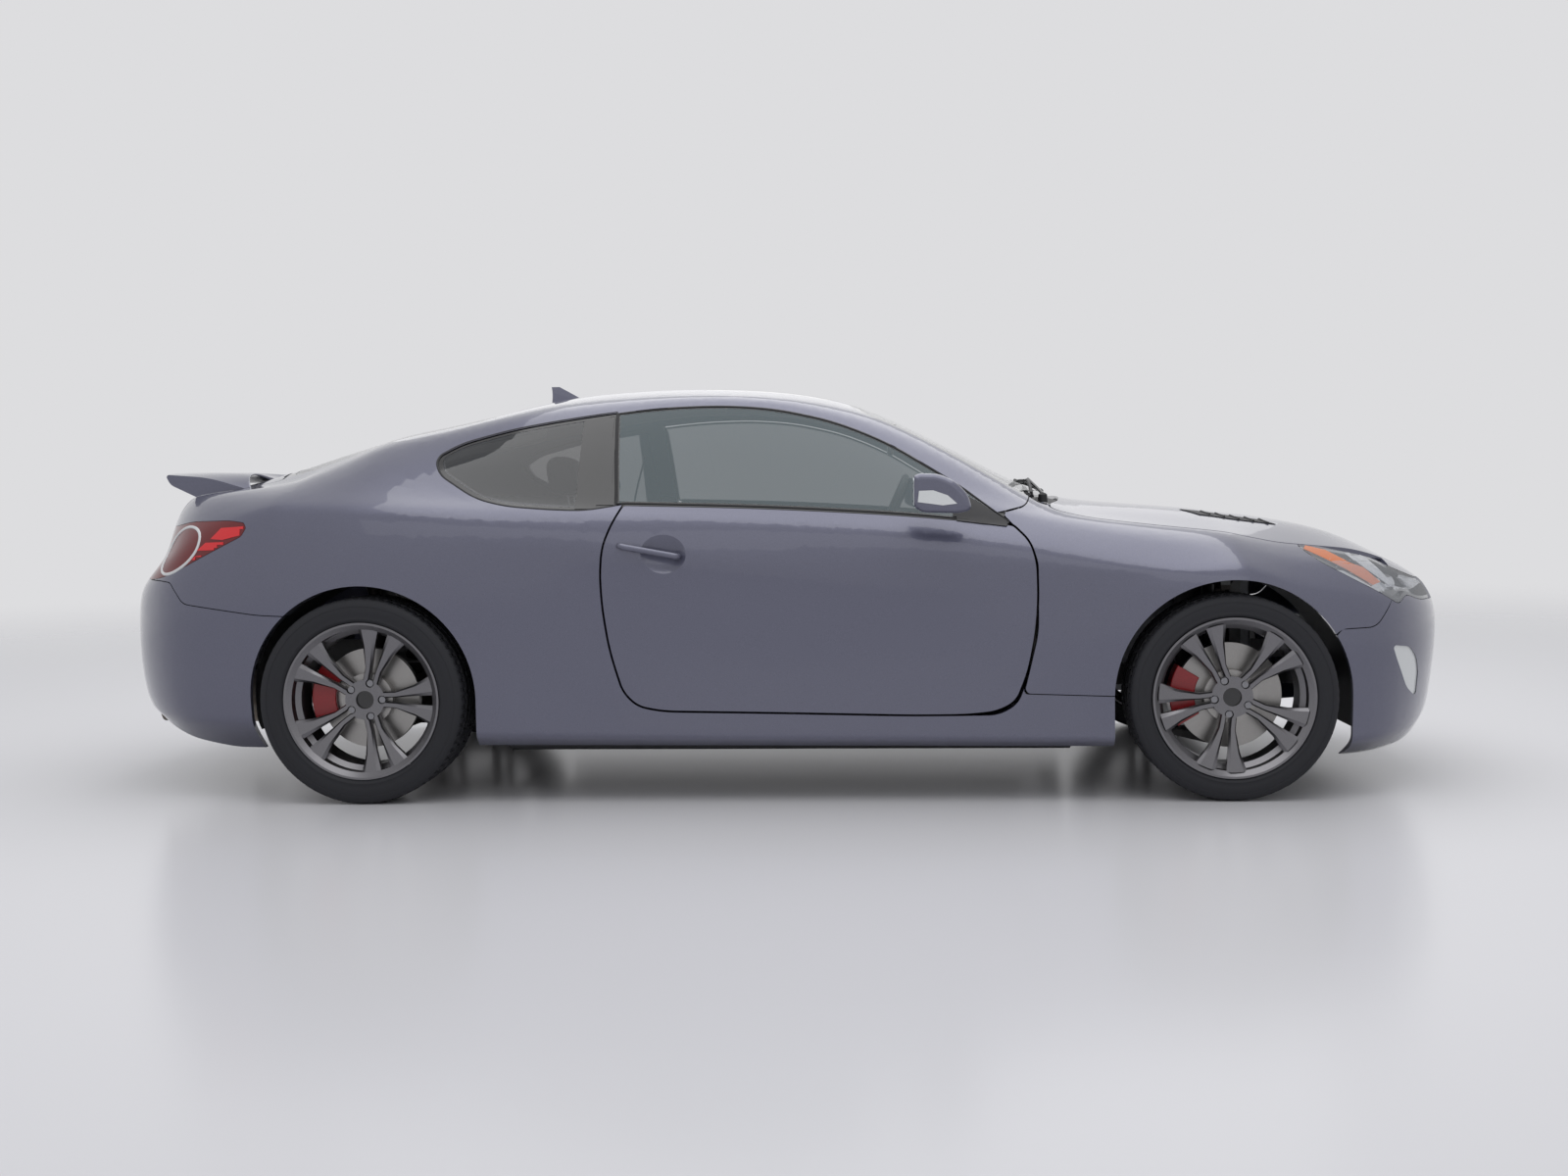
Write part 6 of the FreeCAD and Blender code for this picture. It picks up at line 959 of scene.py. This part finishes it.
def puffed(bm, voxel, cap):
    """The block remeshed and blown up like stuffed upholstery, no point moving further than the cap."""
    mesh = bpy.data.meshes.new("pad")
    bm.to_mesh(mesh)
    bm.free()
    pad = bpy.data.objects.new("pad", mesh)
    bpy.context.scene.collection.objects.link(pad)
    skin = pad.modifiers.new("skin", "REMESH")
    skin.mode = "VOXEL"
    skin.voxel_size = voxel
    plain = evaluated_mesh(pad)
    pad.modifiers.clear()
    pad.data = plain
    start = [v.co.copy() for v in plain.vertices]
    cloth = pad.modifiers.new("cloth", "CLOTH")
    cloth.settings.use_pressure = True
    cloth.settings.uniform_pressure_force = PUFF_PRESSURE
    cloth.settings.effector_weights.gravity = 0.0
    cloth.point_cache.frame_start = 1
    cloth.point_cache.frame_end = PUFF_FRAMES
    for number in range(1, PUFF_FRAMES + 1):
        bpy.context.scene.frame_set(number)
    blown = evaluated_mesh(pad)
    for vert, old, new in zip(plain.vertices, start, blown.vertices):
        move = new.co - old
        vert.co = old + move * min(1.0, cap / max(move.length, cap))
    pad.modifiers.clear()
    bpy.data.meshes.remove(blown)
    bpy.context.scene.frame_set(1)
    found = bmesh.new()
    found.from_mesh(plain)
    bpy.data.objects.remove(pad)
    bpy.data.meshes.remove(plain)
    return found


def smooth_step(value, low, high):
    """From 0 at low to 1 at high, without a kink."""
    t = min(1.0, max(0.0, (value - low) / (high - low)))
    return t * t * (3 - 2 * t)


def sewn(bm, lines):
    """Sewn channels: vertices near each line, given as a distance function, sink into the padding."""
    for vert in bm.verts:
        for away in lines:
            vert.co -= vert.normal * SEAM_DEPTH * math.exp(-((away(vert.co) / SEAM_REACH) ** 2))


def upholstered(name, bm, side, finish):
    """The pad put in its place on one side of the car and finished."""
    bmesh.ops.translate(bm, vec=(0, SEAT_Y, 0), verts=bm.verts)
    if side < 0:
        bmesh.ops.scale(bm, vec=(1, -1, 1), verts=bm.verts)
        bmesh.ops.reverse_faces(bm, faces=bm.faces)
    piece = new_piece(name, bm, finish, "body", smooth_deg=180)
    soft = piece.modifiers.new("smooth", "SUBSURF")
    soft.levels = soft.render_levels = 1
    return piece


def front_pads():
    """The squab, backrest and headrest of a bucket seat, with raised bolsters and sewn channels."""
    squab = puffed(pad_body(SQUAB, FRONT_SQUAB_WIDTH, 0.03), PAD_VOXEL, 0.012)
    for vert in squab.verts:
        raised = smooth_step(abs(vert.co.y), 0.135, 0.2)
        vert.co.z += (0.028 * raised - 0.010 * (1 - raised)) * smooth_step(vert.co.z, 0.38, 0.45)
    channels = [lambda p, x=x: max(abs(p.x - x), abs(p.y) - 0.13) for x in (-0.28, -0.16, -0.04)]
    sewn(squab, [lambda p: abs(p.y) - 0.145] + channels)
    back = puffed(pad_body(BACKREST, FRONT_BACK_WIDTH, 0.03), PAD_VOXEL, 0.012)
    for vert in back.verts:
        ahead = smooth_step(vert.normal.x, 0.1, 0.6)
        raised = smooth_step(abs(vert.co.y), 0.125, 0.19) * smooth_step(vert.co.z, 0.46, 0.56)
        raised *= 1 - smooth_step(vert.co.z, 0.84, 0.95)
        vert.co.x += ahead * (0.040 * raised - 0.008)
    channels = [lambda p, z=z: max(abs(p.z - z), abs(p.y) - 0.12) for z in (0.60, 0.70, 0.80, 0.89)]
    sewn(back, [lambda p: max(abs(abs(p.y) - 0.135), 0.46 - p.z, p.z - 0.9)] + channels)
    head = puffed(pad_body(HEADREST, HEADREST_WIDTH, 0.026), HEADREST_VOXEL, 0.008)
    return {"squab": squab, "backrest": back, "headrest": head}


REAR_SQUAB = [(-1.345, 0.428), (-1.328, 0.476), (-0.995, 0.490), (-0.898, 0.476), (-0.893, 0.428)]
REAR_BACKREST = [(-1.420, 0.480), (-1.493, 0.828), (-1.485, 0.874), (-1.453, 0.868), (-1.324, 0.508)]
REAR_BACKREST += [(-1.342, 0.480)]


def rear_pads():
    """One hollow of the rear bench: its squab and its backrest."""
    squab = puffed(pad_body(REAR_SQUAB, REAR_PAD_WIDTH, 0.025), PAD_VOXEL, 0.010)
    sewn(squab, [lambda p: abs(p.y) - 0.13, lambda p: max(abs(p.x + 1.12), abs(p.y) - 0.12)])
    back = puffed(pad_body(REAR_BACKREST, REAR_PAD_WIDTH, 0.025), PAD_VOXEL, 0.010)
    sewn(back, [lambda p: abs(p.y) - 0.13, lambda p: max(abs(p.z - 0.70), abs(p.y) - 0.12)])
    return {"squab": squab, "backrest": back}


def dress_seats():
    """Four upholstered seats, their posts and rails."""
    front = front_pads()
    for part, bm in front.items():
        for name, side in SIDES.items():
            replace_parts(upholstered(f"front_seat_{part}_{name}", bm.copy(), side, LEATHER), "front_seats")
        bm.free()
    for name, side in SIDES.items():
        for number, offset in enumerate((-0.055, 0.055)):
            y = side * SEAT_Y + offset
            post = [(x, y, z) for x, z in HEADREST_POST]
            strip(f"headrest_post_{number}_{name}", post, 0.006, STAINLESS, "body")
        for number, offset in enumerate((-0.19, 0.19)):
            y = side * SEAT_Y + offset
            low, high = (-0.45, y - 0.018, 0.175), (0.05, y + 0.018, 0.296)
            rounded_block(f"seat_rail_{number}_{name}", low, high, GRAINED, "body", 0.004)
    rear = rear_pads()
    for part, bm in rear.items():
        for name, side in SIDES.items():
            copy = bm.copy()
            bmesh.ops.translate(copy, vec=(0, REAR_SEAT_Y - SEAT_Y, 0), verts=copy.verts)
            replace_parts(upholstered(f"rear_seat_{part}_{name}", copy, side, LEATHER), "rear_seat")
        bm.free()


# what sits on the instrument panel, seen from behind as (y, z), with its finish
DASH_PLATES = {
    "centre_screen": ([(-0.105, 0.79), (0.105, 0.79), (0.105, 0.87), (-0.105, 0.87)], GLOSS),
    "centre_stack": ([(-0.09, 0.64), (0.09, 0.64), (0.105, 0.78), (-0.105, 0.78)], GRAINED),
    "gauge_glass": ([(0.27, 0.83), (0.50, 0.83), (0.48, 0.89), (0.29, 0.89)], GLOSS),
}
AIR_VENTS_Y = (-0.52, -0.17, 0.17, 0.56)
GEAR_BOOT = [(0, 0), (0.001, 0.048), (0.02, 0.040), (0.05, 0.018), (0.06, 0.008), (0.06, 0)]
GEAR_KNOB = [(-0.024, 0), (-0.020, 0.014), (0, 0.023), (0.018, 0.019), (0.026, 0.008), (0.027, 0)]
PEDALS = {"clutch": (0.47, 0.30), "brake": (0.385, 0.30), "throttle": (0.30, 0.28)}
SUN_VISOR_DEG = 14
BELT_LINE = [(-0.60, 0.60, 1.16), (-0.66, 0.62, 0.90), (-0.64, 0.66, 0.55), (-0.60, 0.68, 0.30)]


def dress_cabin():
    """What shows of the cabin through the glass."""
    dash = surface_of("dashboard")
    for name, (outline, finish) in DASH_PLATES.items():
        patch(name, dash, outline, "rear", finish, "body", thickness=0.003)
    for number, y in enumerate(AIR_VENTS_Y):
        outline = [(y - 0.055, 0.845), (y + 0.055, 0.845), (y + 0.055, 0.885), (y - 0.055, 0.885)]
        patch(f"air_vent_{number}", dash, outline, "rear", GRAINED, "body", thickness=0.004)
    lever = laid(dash, (0.06, 0.0), "top", 0.0)
    if lever:
        turned("gear_boot", GEAR_BOOT, lever, (0, 0, 1), LEATHER, "body")
        stem = [lever + Vector((0, 0, 0.05)), lever + Vector((-0.01, 0, 0.10))]
        strip("gear_stem", stem, 0.006, STAINLESS, "body")
        turned("gear_knob", GEAR_KNOB, lever + Vector((-0.012, 0, 0.12)), (0, 0, 1), GLOSS, "body")
    for name, (y, z) in PEDALS.items():
        low, high = (0.80, y - 0.025, z - 0.035), (0.812, y + 0.025, z + 0.035)
        rounded_block("pedal_" + name, low, high, SEAL, "body", 0.004)
        arm = [(0.812, y, z), (0.86, y, z + 0.15), (0.90, y, z + 0.28)]
        strip("pedal_arm_" + name, arm, 0.006, GRAINED, "body")
    low, high = (0.395, -0.125, 1.135), (0.415, 0.125, 1.195)
    rounded_block("cabin_mirror", low, high, GRAINED, "body", 0.008)
    low, high = (0.392, -0.118, 1.141), (0.396, 0.118, 1.189)
    rounded_block("cabin_mirror_glass", low, high, MIRROR, "body", 0.0015)
    roof = surface_of("windshield")
    top = roof.ray_cast(Vector((0.42, 0, 1.10)), Vector((0, 0, 1)))[0]
    if top:
        stem = [(0.412, 0, 1.18), top - Vector((0, 0, 0.001))]
        strip("cabin_mirror_stem", stem, 0.008, GRAINED, "body")
    for name, side in SIDES.items():
        y = sorted((side * 0.16, side * 0.44))
        low, high = (0.10, y[0], 1.262), (0.26, y[1], 1.276)
        tilt = Matrix.Rotation(math.radians(SUN_VISOR_DEG), 4, "Y")
        rounded_block("sun_visor_" + name, low, high, HEADLINER, "body", 0.005, turn=tilt)
        belt = [(x, side * across, z) for x, across, z in BELT_LINE]
        strip("seat_belt_" + name, smooth_line(belt), 0.004, BELT_WEBBING, "body")


# floor, light and camera: each light's name, place, size and power
LIGHTS = (
    ("lamp_ceiling", (0.3, 0.0, 4.4), (7.5, 5.0), 150.0),
    ("lamp_side_right", (0.5, -5.5, 3.0), (7.0, 1.6), 12.0),
    ("lamp_side_left", (0.0, 5.5, 3.0), (7.0, 1.6), 12.0),
)


def pale_floor():
    """Smooth pale floor with a soft gloss, which fades into the room's colour far from the car."""
    values = {"Base Color": tone("dedde0"), "Roughness": 0.22}
    material, shader = new_material("floor_pale_resin", values)
    place = add_node(material, "ShaderNodeTexCoord")
    from_car = {0: place.outputs["Object"]}
    reach = add_node(material, "ShaderNodeVectorMath", None, from_car, operation="LENGTH")
    fade = add_node(
        material,
        "ShaderNodeMapRange",
        {"From Min": FLOOR_FADE[0], "From Max": FLOOR_FADE[1]},
        {"Value": reach.outputs["Value"]},
        interpolation_type="SMOOTHSTEP",
    )
    clear = add_node(material, "ShaderNodeBsdfTransparent")
    faded = {0: fade.outputs["Result"], 1: shader.outputs[0], 2: clear.outputs[0]}
    mix = add_node(material, "ShaderNodeMixShader", None, faded)
    output = material.node_tree.nodes["Material Output"]
    material.node_tree.links.new(mix.outputs[0], output.inputs["Surface"])
    return material


def set_scene():
    """Room, floor, lights and camera."""
    scene = bpy.context.scene
    scene.view_settings.view_transform = "Standard"
    world = bpy.data.worlds.new("studio")
    scene.world = world
    world.use_nodes = True
    world.node_tree.nodes.clear()
    path = add_node(world, "ShaderNodeLightPath")
    lit = add_node(world, "ShaderNodeBackground", {"Color": tone("f2f4f8"), "Strength": ROOM_STRENGTH})
    seen = add_node(world, "ShaderNodeBackground", {"Color": tone(ROOM_COLOUR)})
    rays = {0: path.outputs["Is Camera Ray"], 1: path.outputs["Is Transmission Ray"]}
    direct = add_node(world, "ShaderNodeMath", None, rays, operation="MAXIMUM")
    rays = {0: direct.outputs[0], 1: path.outputs["Is Glossy Ray"]}
    shown = add_node(world, "ShaderNodeMath", None, rays, operation="MAXIMUM")
    rooms = {0: shown.outputs[0], 1: lit.outputs[0], 2: seen.outputs[0]}
    mix = add_node(world, "ShaderNodeMixShader", None, rooms)
    add_node(world, "ShaderNodeOutputWorld", None, {"Surface": mix.outputs[0]})

    bm = bmesh.new()
    bmesh.ops.create_circle(bm, cap_ends=True, segments=96, radius=FLOOR_FADE[1] + 1.0)
    mesh = bpy.data.meshes.new("floor")
    bm.to_mesh(mesh)
    bm.free()
    mesh.materials.append(pale_floor())
    floor = bpy.data.objects.new("floor", mesh)
    scene.collection.objects.link(floor)

    for name, place, size, power in LIGHTS:
        lamp = bpy.data.lights.new(name, "AREA")
        lamp.shape = "RECTANGLE"
        lamp.size, lamp.size_y = size
        lamp.energy = power
        holder = bpy.data.objects.new(name, lamp)
        scene.collection.objects.link(holder)
        holder.location = place
        aim = Vector((0.0, 0.0, 0.6)) - Vector(place)
        holder.rotation_euler = aim.to_track_quat("-Z", "Y").to_euler()

    lens = bpy.data.cameras.new("camera")
    lens.sensor_width = 36.0
    lens.lens = CAMERA_LENS
    camera = bpy.data.objects.new("camera", lens)
    scene.collection.objects.link(camera)
    yaw, pitch, roll = (math.radians(a) for a in (-CAMERA_YAW_DEG, CAMERA_PITCH_DEG, -CAMERA_ROLL_DEG))
    level = Vector((math.cos(yaw), -math.sin(yaw), 0.0))
    ahead = Vector((math.sin(yaw), math.cos(yaw), 0.0))
    forward = ahead * math.cos(pitch) - Vector((0, 0, math.sin(pitch)))
    upright = ahead * math.sin(pitch) + Vector((0, 0, math.cos(pitch)))
    right = level * math.cos(roll) + upright * math.sin(roll)
    up = -level * math.sin(roll) + upright * math.cos(roll)
    turn = Matrix((right, up, -forward)).transposed().to_4x4()
    camera.matrix_world = Matrix.Translation(CAMERA_PLACE) @ turn
    scene.camera = camera


set_scene()
dress_panels()
dress_glass()
dress_lamps()
dress_wheels()
dress_mirrors()
dress_trim()
dress_cabin()
dress_seats()
